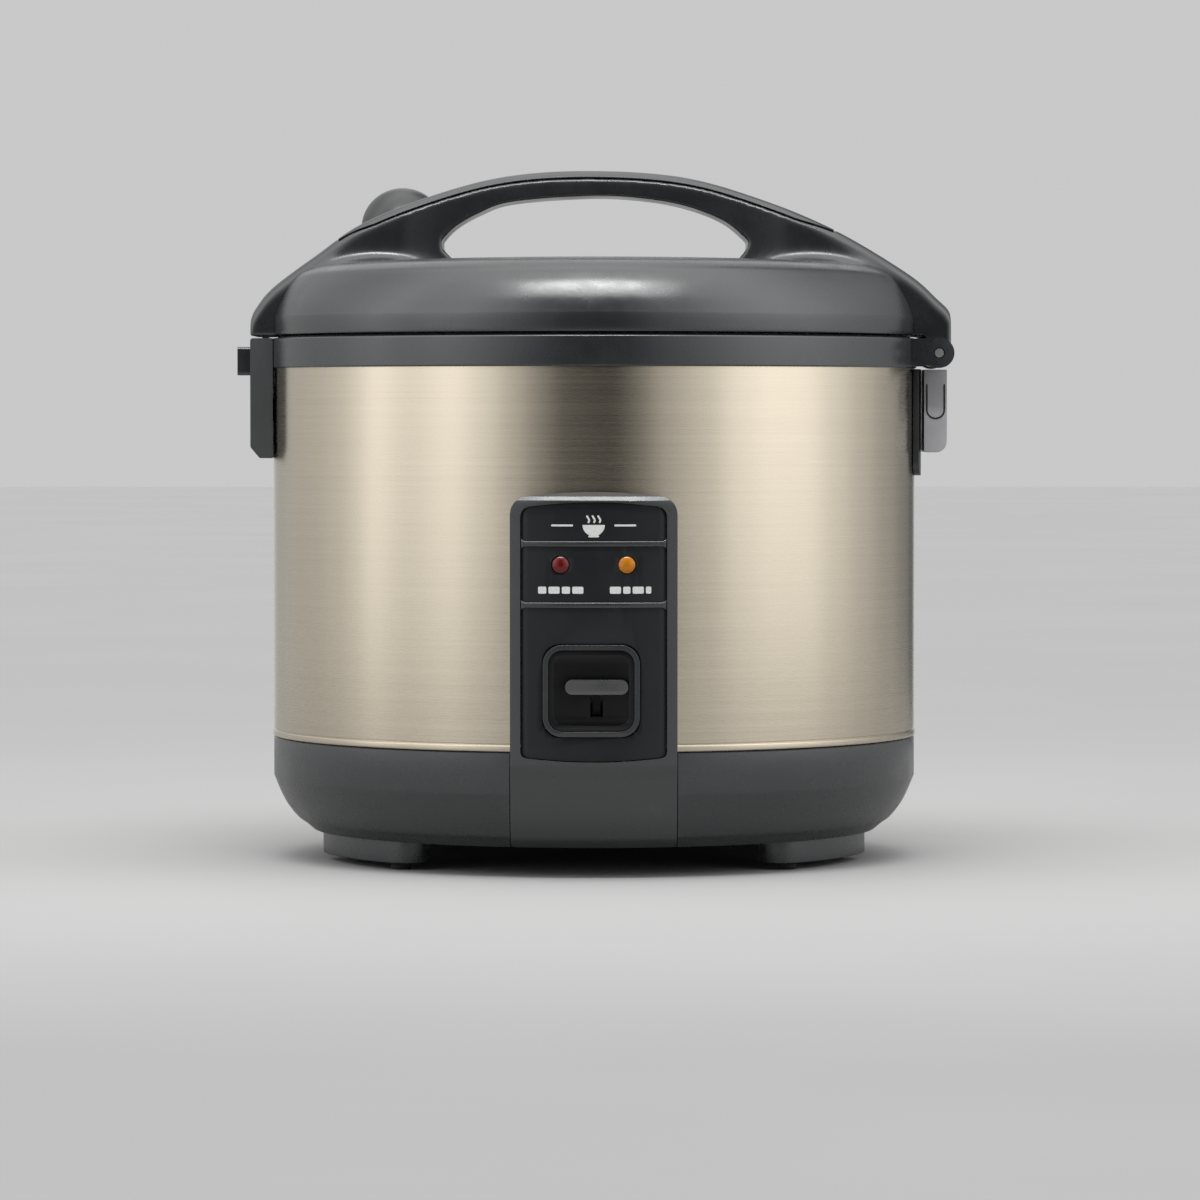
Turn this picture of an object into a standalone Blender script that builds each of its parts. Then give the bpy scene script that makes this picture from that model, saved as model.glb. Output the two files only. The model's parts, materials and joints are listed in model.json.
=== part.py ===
"""Lever-switch rice cooker with a hinged lid.

Lengths are in millimetres and become metres as each mesh is made. The origin is on the surface that the
cooker stands on, +Z is up, the control panel faces -Y and the lid's hinge is at +X.
"""

import math

import bmesh
import bpy
from mathutils import Matrix, Vector

MM = 0.001
GAP = 0.3  # between neighbouring pieces

# Body
BODY_R = 140.0
STEEL_T = 0.8
BASE_BOTTOM = 12.5
BASE_TOP = 53.0
BASE_WALL = 2.5
RIM_R = 141.5
RIM_BOTTOM = 214.0
RIM_TOP = 226.0
FOOT_BOTTOM = 3.0
FOOT_INNER = 101.0
FOOT_OUTER = 120.0
FOOT_SWEEP = 19.0  # degrees either side of its middle
PAD_X = 82.0
PAD_Y = 78.0
PAD_R = 3.6
VENT_INNER = 30.0
VENT_OUTER = 58.0
VENT_HALF = 2.0
BASE_SCREW_X = 50.0
BASE_SCREW_Y = 66.0
INLET_HALF = 21.0
INLET_LOW = 20.0
INLET_TOP = 47.0
INLET_PIN_X = 9.0
INLET_PIN_Z = 33.5
INLET_PIN_R = 2.3
PAN_R = 110.0
PAN_BOTTOM = 64.0
PAN_LIP = 222.0
WELL_R = 112.5
WELL_BOTTOM = 40.0
WELL_WALL = 0.9
PAN_WALL = 1.6
ELEMENT_R = 60.0
TERMINAL_X = 20.0
PLATE_BOTTOM = 54.0

# Control panel
PANEL_HALF = 34.6
PANEL_TOP = 161.0
PANEL_R = 146.0
PANEL_STEPS = 120
APRON_BACK = 119.6
FACE_R = 144.3
FACE_BACK = 142.0
WINDOW_HALF = 30.0
WINDOW_LOW = 49.8
WINDOW_TOP = 156.5
BAR_HEIGHTS = (139.7, 114.4)
BAR_HALF = 1.1
LAMP_X = 13.7
LAMP_Z = 131.0
LAMP_R = 3.5
BEZEL_X = -1.0
BEZEL_Z = 79.0
BEZEL_W = 40.0
BEZEL_H = 38.0
LEVER_X = 1.2
LEVER_Z = 80.5

# Lid
LID_BOTTOM = 227.3
CROWN = 260.5
LID_WALL = 2.4
HINGE_X = 149.0
HINGE_Z = 219.5
KNUCKLE_R = 5.8
PIN_R = 2.0
BORE_R = 2.4
HALF_LENGTH = 155.5  # both the hook button's face and the hinge ears reach this far
LUG_HALF = 23.0
EAR_IN = 24.0
EAR_OUT = 34.0
NOTCH_HALF = 10.0
HANDLE_SCREW_X = 90.0
COVER_ENDS = (-114.0, 110.5)
COVER_T = 3.2
STEAM_X = -85.5
STEAM_Y = 55.0
STEAM_TOP = 294.0
STEAM_R = 18.5
STEAM_SPRING = 276.0
SEAT_R = 20.0
DUCT_R = 11.0

# Latch
HOOK_PIVOT_X = -143.5
HOOK_PIVOT_Z = 203.0
HOOK_SPRING_Z = 222.4
HOOK_PIN_R = 1.3
BUTTON_LOW = 210.0
BUTTON_TOP = 222.4
BUTTON_HALF = 8.0
CATCH_X = -146.3
CATCH_Z = 230.0

# Lever linkage
ARM_PIVOT_Y = -52.0
ARM_PIVOT_Z = 27.0
ARM_PIN_R = 1.5

# Dew collector
CUP_INNER = 143.2
CUP_OUTER = 153.0
CUP_LOW = 176.5
CUP_TOP = 212.4
CUP_HALF = 22.0
CUP_WALL = 1.6

PARTS = "rice_cooker"
CUTTERS = "cutters"
LARGE, MEDIUM, SMALL = 48, 28, 14  # sides of turned shapes

SLATE = ((0.060, 0.070, 0.078), 0.42, 0.0)
DARK = ((0.020, 0.023, 0.026), 0.45, 0.0)
INSET = ((0.010, 0.013, 0.017), 0.35, 0.0)
STEEL = ((0.55, 0.50, 0.42), 0.30, 1.0)
ALUMINIUM = ((0.70, 0.70, 0.71), 0.35, 1.0)
ZINC = ((0.60, 0.61, 0.62), 0.38, 1.0)
RUBBER = ((0.012, 0.012, 0.013), 0.80, 0.0)
SILICONE = ((0.45, 0.46, 0.47), 0.60, 0.0)
SMOKED = ((0.36, 0.34, 0.38), 0.22, 0.0)
RED = ((0.32, 0.006, 0.006), 0.20, 0.0)
AMBER = ((0.72, 0.26, 0.008), 0.20, 0.0)
GREEN = ((0.02, 0.12, 0.05), 0.55, 0.0)
NONSTICK = ((0.035, 0.036, 0.038), 0.40, 0.2)


# ---------------------------------------------------------------- helpers


def clear_scene():
    for ob in list(bpy.data.objects):
        bpy.data.objects.remove(ob, do_unlink=True)


def collection(name):
    found = bpy.data.collections.get(name)
    if found is None:
        found = bpy.data.collections.new(name)
        bpy.context.scene.collection.children.link(found)
    return found


def paint(ob, look):
    """Gives a piece its own material."""
    rgb, roughness, metallic = look
    mat = bpy.data.materials.new(ob.name + "_material")
    mat.use_nodes = True
    shader = mat.node_tree.nodes["Principled BSDF"]
    shader.inputs["Base Color"].default_value = (*rgb, 1.0)
    shader.inputs["Roughness"].default_value = roughness
    shader.inputs["Metallic"].default_value = metallic
    ob.data.materials.clear()
    ob.data.materials.append(mat)


def make(name, bm, look=None):
    """Turns a bmesh into a piece, or into a cutter when it has no look."""
    bmesh.ops.recalc_face_normals(bm, faces=bm.faces)
    mesh = bpy.data.meshes.new(name)
    bm.to_mesh(mesh)
    bm.free()
    mesh.shade_smooth()
    mesh.set_sharp_from_angle(angle=math.radians(35))
    ob = bpy.data.objects.new(name, mesh)
    if look is None:
        collection(CUTTERS).objects.link(ob)
        ob.hide_render = True
        ob.display_type = "WIRE"
    else:
        collection(PARTS).objects.link(ob)
        paint(ob, look)
    return ob


def box(name, lo, hi, look=None):
    bm = bmesh.new()
    bmesh.ops.create_cube(bm, size=1.0)
    size = [(h - l) * MM for l, h in zip(lo, hi)]
    centre = [(h + l) / 2 * MM for l, h in zip(lo, hi)]
    bmesh.ops.scale(bm, vec=size, verts=bm.verts)
    bmesh.ops.translate(bm, vec=centre, verts=bm.verts)
    return make(name, bm, look)


def rod(name, start, end, radius, look=None, sides=SMALL, end_radius=None):
    """A cylinder or a cone from start to end."""
    a, b = Vector(start) * MM, Vector(end) * MM
    bm = bmesh.new()
    bmesh.ops.create_cone(
        bm,
        cap_ends=True,
        segments=sides,
        radius1=radius * MM,
        radius2=(radius if end_radius is None else end_radius) * MM,
        depth=(b - a).length,
    )
    turn = Vector((0, 0, 1)).rotation_difference(b - a).to_matrix().to_4x4()
    bmesh.ops.transform(bm, matrix=Matrix.Translation((a + b) / 2) @ turn, verts=bm.verts)
    return make(name, bm, look)


def turned(name, profile, look=None, steps=LARGE, closed=True, centre=(0.0, 0.0)):
    """Turns (radius, height) points about Z. The outer side is listed from top to bottom."""
    mesh = bpy.data.meshes.new(name)
    points = [(r * MM, 0.0, z * MM) for r, z in profile]
    edges = [(i, i + 1) for i in range(len(points) - 1)]
    if closed:
        edges.append((len(points) - 1, 0))
    mesh.from_pydata(points, edges, [])
    ob = bpy.data.objects.new(name, mesh)
    ob.location = (centre[0] * MM, centre[1] * MM, 0.0)
    screw = ob.modifiers.new("turn", "SCREW")
    screw.steps = screw.render_steps = steps
    screw.use_merge_vertices = True
    screw.merge_threshold = 0.00001
    screw.use_smooth_shade = True
    if look is None:
        collection(CUTTERS).objects.link(ob)
        ob.hide_render = True
        ob.display_type = "WIRE"
    else:
        collection(PARTS).objects.link(ob)
        paint(ob, look)
    return ob


PLANES = {
    "XY": Matrix.Identity(4),
    "XZ": Matrix.Rotation(math.pi / 2, 4, "X"),
    "YZ": Matrix(((0, 0, 1, 0), (1, 0, 0, 0), (0, 1, 0, 0), (0, 0, 0, 1))),
}


def plate(name, outline, plane, lo, hi, look=None):
    """A flat outline drawn in a plane and thickened from lo to hi along the plane's normal."""
    curve = bpy.data.curves.new(name, "CURVE")
    curve.dimensions = "2D"
    curve.fill_mode = "BOTH"
    curve.extrude = (hi - lo) / 2 * MM
    spline = curve.splines.new("POLY")
    spline.points.add(len(outline) - 1)
    for point, (u, v) in zip(spline.points, outline):
        point.co = (u * MM, v * MM, 0.0, 1.0)
    spline.use_cyclic_u = True
    ob = bpy.data.objects.new(name + "_curve", curve)
    bpy.context.scene.collection.objects.link(ob)
    bpy.context.view_layer.update()
    mesh = bpy.data.meshes.new_from_object(ob.evaluated_get(bpy.context.evaluated_depsgraph_get()))
    bpy.data.objects.remove(ob, do_unlink=True)
    bm = bmesh.new()
    bm.from_mesh(mesh)
    bmesh.ops.remove_doubles(bm, verts=bm.verts, dist=1e-6)
    shift = (lo + hi) / 2 * MM
    if plane == "XZ":
        shift = -shift
    bmesh.ops.translate(bm, vec=(0, 0, shift), verts=bm.verts)
    bmesh.ops.transform(bm, matrix=PLANES[plane], verts=bm.verts)
    return make(name, bm, look)


def modify(ob, cutter, operation):
    mod = ob.modifiers.new(operation.lower(), "BOOLEAN")
    mod.operation = operation
    mod.object = cutter
    mod.solver = "EXACT"


def cut(ob, cutter):
    modify(ob, cutter, "DIFFERENCE")


def keep(ob, cutter):
    modify(ob, cutter, "INTERSECT")


def join(ob, other):
    modify(ob, other, "UNION")


def arc(centre, radius, start, end, count):
    """Points along an arc, with angles in degrees from the first axis."""
    turns = [math.radians(start + (end - start) * i / (count - 1)) for i in range(count)]
    return [(centre[0] + radius * math.cos(t), centre[1] + radius * math.sin(t)) for t in turns]


def rounded(lo, hi, radii, count=5):
    """A rectangle whose corners (bottom left, bottom right, top right, top left) have these radii."""
    bl, br, tr, tl = radii
    return (
        arc((lo[0] + bl, lo[1] + bl), bl, 180, 270, count)
        + arc((hi[0] - br, lo[1] + br), br, 270, 360, count)
        + arc((hi[0] - tr, hi[1] - tr), tr, 0, 90, count)
        + arc((lo[0] + tl, hi[1] - tl), tl, 90, 180, count)
    )


def smooth(points, count):
    """A Catmull-Rom curve through the points, with count steps for each span."""
    padded = [points[0], *points, points[-1]]
    line = []
    for a, b, c, d in zip(padded, padded[1:], padded[2:], padded[3:]):
        for i in range(count):
            t = i / count
            line.append(
                tuple(
                    q
                    + 0.5 * (r - p) * t
                    + (p - 2.5 * q + 2 * r - 0.5 * s) * t**2
                    + (1.5 * q - 0.5 * p - 1.5 * r + 0.5 * s) * t**3
                    for p, q, r, s in zip(a, b, c, d)
                )
            )
    return [*line, points[-1]]


def coil(name, start, end, radius, wire, turns, look):
    """A compression or torsion spring whose axis runs from start to end."""
    a, b = Vector(start), Vector(end)
    axis = (b - a).normalized()
    side = axis.orthogonal().normalized()
    other = axis.cross(side)
    steps = 8 * turns
    points = []
    for i in range(steps + 1):
        angle = 2 * math.pi * turns * i / steps
        place = a + (b - a) * i / steps
        points.append(place + radius * (math.cos(angle) * side + math.sin(angle) * other))
    return tube(name, points, wire, look)


def tube(name, points, radius, look, resolution=1):
    """A bent round wire with closed ends."""
    curve = bpy.data.curves.new(name, "CURVE")
    curve.dimensions = "3D"
    curve.bevel_depth = radius * MM
    curve.bevel_resolution = resolution
    curve.use_fill_caps = True
    spline = curve.splines.new("POLY")
    spline.points.add(len(points) - 1)
    for target, point in zip(spline.points, points):
        target.co = (*(Vector(point) * MM), 1.0)
    ob = bpy.data.objects.new(name, curve)
    collection(PARTS).objects.link(ob)
    paint(ob, look)
    return ob


# ---------------------------------------------------------------- profiles that neighbours share


BASE_SIDE = [(140.0, 36.0), (136.9, 28.5), (134.0, 23.2), (129.8, 18.0), (126.3, 15.4), (122.8, BASE_BOTTOM)]
DOME_SIDE = [(82.0, 259.7), (115.0, 258.0), (127.6, 254.8), (133.0, 250.0), (137.5, 242.0), (BODY_R, 235.0)]


def offset(profile, inward):
    """Moves a (radius, height) outline inward along its own normals."""
    moved = []
    for i, (r, z) in enumerate(profile):
        before = profile[max(i - 1, 0)]
        after = profile[min(i + 1, len(profile) - 1)]
        along = Vector((after[0] - before[0], after[1] - before[1])).normalized()
        moved.append((r + along.y * inward, z - along.x * inward))
    return moved


def dome_solid(name, grow):
    """The space under the lid's outer surface, grown by a clearance."""
    side = offset(DOME_SIDE, -grow)
    profile = [(0.0, CROWN + grow), *side, (BODY_R + grow, 180.0), (0.0, 180.0)]
    return turned(name, profile, closed=False)


# ---------------------------------------------------------------- body


def base_cover():
    """The bowl that closes the body from below, with its four curved feet."""
    inner = offset(BASE_SIDE, BASE_WALL)
    floor = BASE_BOTTOM + BASE_WALL
    outer = [(BODY_R, BASE_TOP), *BASE_SIDE, (9.0, BASE_BOTTOM), (9.0, floor), (121.0, floor)]
    profile = [*outer, *reversed(inner[:-1]), (BODY_R - BASE_WALL, BASE_TOP)]
    ob = turned("base_cover", profile, SLATE)
    for i, middle in enumerate((-148.0, -32.0, 32.0, 148.0)):
        foot = foot_outline(middle)
        join(ob, plate(f"foot_{i}", foot, "XY", FOOT_BOTTOM, BASE_BOTTOM + 1.0))
    for i in range(8):
        cut(ob, vent_slot(f"vent_slot_{i}", i * 45.0 + 22.5))
    room = turned("apron_room", [(160.0, 60.0), (160.0, 5.0), (APRON_BACK, 5.0), (APRON_BACK, 60.0)])
    keep(room, plate("apron_strip", apron_outline(GAP), "XZ", -170.0, -100.0))
    cut(ob, room)
    half = INLET_HALF + GAP
    cut(ob, box("inlet_room", (-half, 125.0, INLET_LOW - GAP), (half, 150.0, INLET_TOP + GAP)))
    return ob


def foot_outline(middle):
    """An arc-shaped foot seen from above, centred on a direction in degrees from +X."""
    half, inner, outer = FOOT_SWEEP, FOOT_INNER, FOOT_OUTER
    mid, end = (inner + outer) / 2, (outer - inner) / 2
    turn = math.radians(middle)
    points = arc((0, 0), outer, middle - half, middle + half, 8)
    for sign in (1, -1):
        angle = turn + sign * math.radians(half)
        tip = (mid * math.cos(angle), mid * math.sin(angle))
        start = middle + sign * half + (0 if sign > 0 else 180)
        points += arc(tip, end, start, start + 180, 5)[1:-1]
        if sign > 0:
            points += arc((0, 0), inner, middle + half, middle - half, 7)
    return points


def vent_slot(name, direction):
    """A radial slot through the floor."""
    outline = arc((VENT_INNER, 0.0), VENT_HALF, 90, 270, 5) + arc((VENT_OUTER, 0.0), VENT_HALF, -90, 90, 5)
    turn = math.radians(direction)
    c, s = math.cos(turn), math.sin(turn)
    spun = [(x * c - y * s, x * s + y * c) for x, y in outline]
    return plate(name, spun, "XY", 5.0, 20.0)


def four_places(x, y):
    """A name and a place for each of the four corners."""
    return (("front_left", -x, -y), ("front_right", x, -y), ("rear_left", -x, y), ("rear_right", x, y))


def foot_pads():
    for place, x, y in four_places(PAD_X, PAD_Y):
        rod(f"foot_pad_{place}", (x, y, 0.0), (x, y, FOOT_BOTTOM - GAP), PAD_R, RUBBER, end_radius=PAD_R + 0.8)


def outer_shell():
    """The steel band, open behind the control panel."""
    inner = BODY_R - STEEL_T
    top, bottom = RIM_BOTTOM - GAP, BASE_TOP + GAP
    ob = turned("outer_shell", [(BODY_R, top), (BODY_R, bottom), (inner, bottom), (inner, top)], STEEL)
    cut(ob, box("shell_window", (-28.0, -150.0, 57.0), (28.0, -120.0, 140.0)))
    return ob


def rim_ring():
    """The upper frame: it carries the pan's lip, the hinge ears and the latch notch."""
    profile = [
        (RIM_R, RIM_TOP),
        (RIM_R, RIM_BOTTOM),
        (RIM_R - 3.0, RIM_BOTTOM),
        (RIM_R - 3.0, 219.0),
        (WELL_R + 0.5, 219.0),
        (WELL_R + 0.5, PAN_LIP - GAP),
        (123.0, PAN_LIP - GAP),
        (124.5, RIM_TOP),
    ]
    ob = turned("rim_ring", profile, SLATE)
    cut(ob, box("hook_notch", (-150.0, -NOTCH_HALF, 205.0), (-131.0, NOTCH_HALF, 230.0)))
    ear_r = HALF_LENGTH - HINGE_X
    for side in (-1, 1):
        near, far = sorted((side * EAR_IN, side * EAR_OUT))
        join(ob, rod(f"ear_end_{near}", (HINGE_X, near, HINGE_Z), (HINGE_X, far, HINGE_Z), ear_r, sides=24))
        join(ob, box(f"ear_root_{near}", (136.5, near, HINGE_Z - 5.4), (HINGE_X, far, HINGE_Z + 6.2)))
    cut(ob, rod("ear_bore", (HINGE_X, -40, HINGE_Z), (HINGE_X, 40, HINGE_Z), BORE_R))
    room = EAR_IN - 0.1
    cut(ob, rod("knuckle_room", (HINGE_X, -room, HINGE_Z), (HINGE_X, room, HINGE_Z), 7.3, sides=24))
    return ob


def inner_well():
    """The frame that the pan hangs in, with the heater on its floor."""
    wall = WELL_WALL
    profile = [
        (WELL_R + 5.0, 218.7),
        (WELL_R + 5.0, 217.7),
        (WELL_R + wall, 217.7),
        (WELL_R + wall, 48.0),
        (WELL_R - 7.0, WELL_BOTTOM),
        (8.0, WELL_BOTTOM),
        (8.0, WELL_BOTTOM + 1.0),
        (WELL_R - 7.4, WELL_BOTTOM + 1.0),
        (WELL_R, 48.4),
        (WELL_R, 218.7),
    ]
    ob = turned("inner_well", profile, ALUMINIUM)
    for i, x in enumerate((-TERMINAL_X, TERMINAL_X)):
        y = -math.sqrt(ELEMENT_R**2 - x**2)
        cut(ob, rod(f"terminal_hole_{i}", (x, y, 30), (x, y, 48), 4.5, sides=12))
    return ob


def keep_warm_heater():
    out, inn, top, low = WELL_R + 3.0, WELL_R + 1.2, 190.0, 150.0
    return turned("keep_warm_heater", [(out, top), (out, low), (inn, low), (inn, top)], SILICONE, steps=48)


def heater():
    """The cast plate, the sheathed element under it and the three studs it stands on."""
    top = PAN_BOTTOM - GAP
    low = PLATE_BOTTOM
    profile = [(80.0, top), (84.0, top - 2.5), (84.0, low + 3.0), (80.0, low), (19.0, low), (19.0, top)]
    turned("heater_plate", profile, ALUMINIUM, steps=48)
    ring = arc((0, 0), ELEMENT_R, -70.5, 250.5, 33)
    points = [(x, y, 50.4) for x, y in ring]
    (x0, y0), (x1, y1) = ring[0], ring[-1]
    points = [(x0, y0, 34.0), *points, (x1, y1, 34.0)]
    tube("heater_element", points, 3.2, ZINC)
    for i in range(3):
        turn = math.radians(30 + 120 * i)
        x, y = 38 * math.cos(turn), 38 * math.sin(turn)
        rod(f"heater_stud_{i + 1}", (x, y, WELL_BOTTOM + 1.0 + GAP), (x, y, low - GAP), 4.0, ZINC)


def inner_pan():
    """The lift-out pan with its rolled lip, listed from its inner centre over the lip to its outer centre."""
    wall = PAN_WALL
    profile = [
        (0.0, PAN_BOTTOM + wall),
        (PAN_R - 20.4, PAN_BOTTOM + wall),
        (PAN_R - 12.0, 67.5),
        (PAN_R - 5.0, 74.0),
        (PAN_R - wall, 84.4),
        (PAN_R - wall, 223.4),
        (PAN_R + 11.0, 223.4),
        (PAN_R + 11.5, PAN_LIP),
        (PAN_R, PAN_LIP),
        (PAN_R, 84.0),
        (PAN_R - 3.5, 73.0),
        (PAN_R - 11.0, 66.0),
        (PAN_R - 20.0, PAN_BOTTOM),
        (0.0, PAN_BOTTOM),
    ]
    return turned("inner_pan", profile, NONSTICK, closed=False)


def sensor():
    """The spring-loaded thermostat cap in the heater's centre, and the magnet rod inside it."""
    top = PAN_BOTTOM - GAP
    skirt = [(17.2, top - 1.2), (17.2, 52.0), (15.6, 52.0), (15.6, 61.8)]
    profile = [(0.0, top), (16.0, top), *skirt, (0.0, 61.8)]
    turned("sensor_cap", profile, ALUMINIUM, steps=MEDIUM, closed=False)
    coil("sensor_spring", (0, 0, 42.4), (0, 0, 60.6), 12.6, 0.7, 4, ZINC)
    neck = [(8.0, 53.4), (8.0, 49.0), (2.0, 49.0), (2.0, 33.0), (5.0, 33.0), (5.0, 30.4)]
    rod_profile = [(0.0, 53.4), *neck, (0.0, 30.4)]
    turned("magnet_rod", rod_profile, ZINC, steps=20, closed=False)


def power_inlet():
    """The two-pin inlet at the back of the base."""
    outer = rounded((-INLET_HALF, INLET_LOW), (INLET_HALF, INLET_TOP), (5, 5, 5, 5), 4)
    inner = rounded((4.5 - INLET_HALF, INLET_LOW + 4.5), (INLET_HALF - 4.5, INLET_TOP - 4.5), (3, 3, 3, 3), 3)
    ob = plate("power_inlet", outer, "XZ", 128.0, 146.0, DARK)
    cut(ob, plate("inlet_socket", inner, "XZ", 132.0, 150.0))
    z = INLET_PIN_Z
    for name, x in (("inlet_pin_left", -INLET_PIN_X), ("inlet_pin_right", INLET_PIN_X)):
        cut(ob, rod(name + "_hole", (x, 124.0, z), (x, 135.0, z), INLET_PIN_R + GAP, sides=SMALL))
        rod(name, (x, 125.0, z), (x, 143.0, z), INLET_PIN_R, ZINC)


# ---------------------------------------------------------------- control panel


def apron_outline(grow):
    """The control housing seen from the front: one strip from the base's bottom to the panel's top."""
    half = PANEL_HALF + grow
    return rounded((-half, 0.0), (half, PANEL_TOP + grow), (1, 1, 7.5, 7.5), 6)


def panel_window(grow):
    half = WINDOW_HALF + grow
    return rounded((-half, WINDOW_LOW - grow), (half, WINDOW_TOP + grow), (2.0, 2.0, 4.5, 4.5), 4)


def bezel_outline(grow, corner):
    w, h = BEZEL_W / 2 + grow, BEZEL_H / 2 + grow
    return rounded((BEZEL_X - w, BEZEL_Z - h), (BEZEL_X + w, BEZEL_Z + h), (corner,) * 4, 5)


def control_housing():
    """The grey frame round the panel, running down into the apron in the base."""
    undercut = [(137.8, 28.5), (134.9, 22.8), (130.6, 17.6), (127.0, 14.8)]
    apron = [(141.4, 38.0), (140.9, 36.0), *undercut, (123.2, BASE_BOTTOM)]
    inner = offset(apron[1:], BASE_WALL)
    lip = [(PANEL_R, 48.5), (PANEL_R - 1.0, 46.5)]
    outer = [(PANEL_R - 0.8, PANEL_TOP), (PANEL_R, PANEL_TOP - 1.0), *lip, *apron]
    back = [(120.0, BASE_BOTTOM), *reversed(inner[:-1]), (138.0, BASE_TOP - 2.0)]
    profile = [*outer, *back, (BODY_R + GAP, BASE_TOP), (BODY_R + GAP, PANEL_TOP)]
    ob = turned("control_housing", profile, SLATE, steps=PANEL_STEPS)
    keep(ob, plate("housing_strip", apron_outline(0.0), "XZ", -160.0, -100.0))
    ring = [(155.0, 170.0), (155.0, 40.0), (FACE_BACK, 40.0), (FACE_BACK, 170.0)]
    pocket = turned("pocket_ring", ring, steps=PANEL_STEPS)
    keep(pocket, plate("pocket_outline", panel_window(GAP), "XZ", -170.0, -100.0))
    cut(ob, pocket)
    cut(ob, plate("bezel_hole", bezel_outline(GAP, 7.0), "XZ", -170.0, -100.0))
    for i, x in enumerate((-LAMP_X, LAMP_X)):
        cut(ob, rod(f"lamp_hole_{i}", (x, -150, LAMP_Z), (x, -100, LAMP_Z), LAMP_R + GAP))
    return ob


def panel_face():
    """The near-black inset with its two cross bars."""
    back = FACE_BACK + GAP
    sheet = [(FACE_R, 170.0), (FACE_R, 40.0), (back, 40.0), (back, 170.0)]
    ob = turned("panel_face", sheet, INSET, steps=PANEL_STEPS)
    keep(ob, plate("face_outline", panel_window(0.0), "XZ", -170.0, -100.0))
    for i, middle in enumerate(BAR_HEIGHTS):
        high, low = middle + BAR_HALF, middle - BAR_HALF
        out = PANEL_R - 0.5
        bar = turned(f"bar_{i}", [(out, high), (out, low), (143.0, low), (143.0, high)], steps=PANEL_STEPS)
        half = WINDOW_HALF - 0.5
        keep(bar, box(f"bar_end_{i}", (-half, -170.0, low - 5), (half, -100.0, high + 5)))
        join(ob, bar)
    cut(ob, plate("face_bezel_hole", bezel_outline(GAP, 7.0), "XZ", -170.0, -100.0))
    for i, x in enumerate((-LAMP_X, LAMP_X)):
        cut(ob, rod(f"face_lamp_hole_{i}", (x, -150, LAMP_Z), (x, -100, LAMP_Z), LAMP_R + GAP))
    return ob


def lamps():
    """The two lenses, and the board that holds the lamps behind them."""
    for name, x, look in (("lamp_lens_cook", -LAMP_X, RED), ("lamp_lens_warm", LAMP_X, AMBER)):
        front = [(0.0, 145.2), (2.0, 144.9), (LAMP_R, 143.6), (LAMP_R, 138.6), (0.0, 138.6)]
        ob = turned(name, front, look, steps=20, closed=False)
        ob.rotation_euler = (math.pi / 2, 0, 0)
        ob.location = (x * MM, 0.0, LAMP_Z * MM)
    ob = box("lamp_board", (-24.0, -134.4, 118.0), (24.0, -132.8, 136.0), GREEN)
    for i, x in enumerate((-LAMP_X, LAMP_X)):
        join(ob, rod(f"lamp_{i}", (x, -133.5, LAMP_Z), (x, -138.0, LAMP_Z), 2.4, sides=12))
    return ob


def switch_bezel():
    """The rounded square surround of the lever, with a slot in its back wall."""
    ob = plate("switch_bezel", bezel_outline(0.0, 7.0), "XZ", -145.7, -136.0, DARK)
    inner = rounded((BEZEL_X - 16.0, BEZEL_Z - 15.0), (BEZEL_X + 16.0, BEZEL_Z + 15.0), (4.5,) * 4, 4)
    cut(ob, plate("bezel_recess", inner, "XZ", -150.0, -137.5))
    cut(ob, box("bezel_slot", (LEVER_X - 8.0, -140.0, LEVER_Z - 12.0), (LEVER_X + 8.0, -130.0, LEVER_Z + 3.0)))
    return ob


def switch_lever():
    """The knob and the stem that passes through the bezel's slot."""
    outline = rounded((LEVER_X - 13.0, LEVER_Z - 3.0), (LEVER_X + 13.0, LEVER_Z + 3.0), (2.9,) * 4, 5)
    ob = plate("switch_lever", outline, "XZ", -144.6, -139.8, DARK)
    join(ob, box("lever_stem", (LEVER_X - 6.0, -140.5, LEVER_Z - 1.6), (LEVER_X + 6.0, -130.9, LEVER_Z + 1.6)))
    return ob


def linkage():
    """The steel arm from the lever to the magnet rod, its bracket, its pin and the switch it works."""
    outline = [(-130.6, 84.0), (-127.0, 84.0), (-127.0, 50.0), (-105.0, 30.0), (6.0, 30.0), (6.0, 24.0)]
    outline += [(-107.0, 24.0), (-130.6, 46.5)]
    arm = plate("linkage_arm", outline, "YZ", LEVER_X - 1.5, LEVER_X + 1.5, ZINC)
    pivot = (ARM_PIVOT_Y, ARM_PIVOT_Z)
    cut(arm, rod("arm_bore", (-9, *pivot), (12, *pivot), ARM_PIN_R + GAP))
    rod("linkage_pin", (LEVER_X - 6.0, *pivot), (LEVER_X + 6.0, *pivot), ARM_PIN_R, ZINC)
    floor = BASE_BOTTOM + BASE_WALL + GAP
    low, high = ARM_PIVOT_Y - 6.0, ARM_PIVOT_Y + 6.0
    bracket = box("linkage_bracket", (LEVER_X - 6.0, low, floor), (LEVER_X + 6.0, high, 32.0), ZINC)
    cut(bracket, box("bracket_slot", (LEVER_X - 3.0, low - 1, floor + 2.0), (LEVER_X + 3.0, high + 1, 40.0)))
    cut(bracket, rod("bracket_bore", (-12, *pivot), (14, *pivot), ARM_PIN_R + GAP))
    micro = box("microswitch", (-10.0, -32.0, floor), (10.0, -22.0, 20.2), DARK)
    join(micro, box("switch_plunger", (LEVER_X - 1.5, -28.5, 19.5), (LEVER_X + 1.5, -25.5, 23.6)))
    rod("thermal_fuse", (45.0, -18.0, 36.0), (45.0, 18.0, 36.0), 3.2, ZINC, sides=12)


# ---------------------------------------------------------------- latch


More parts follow.
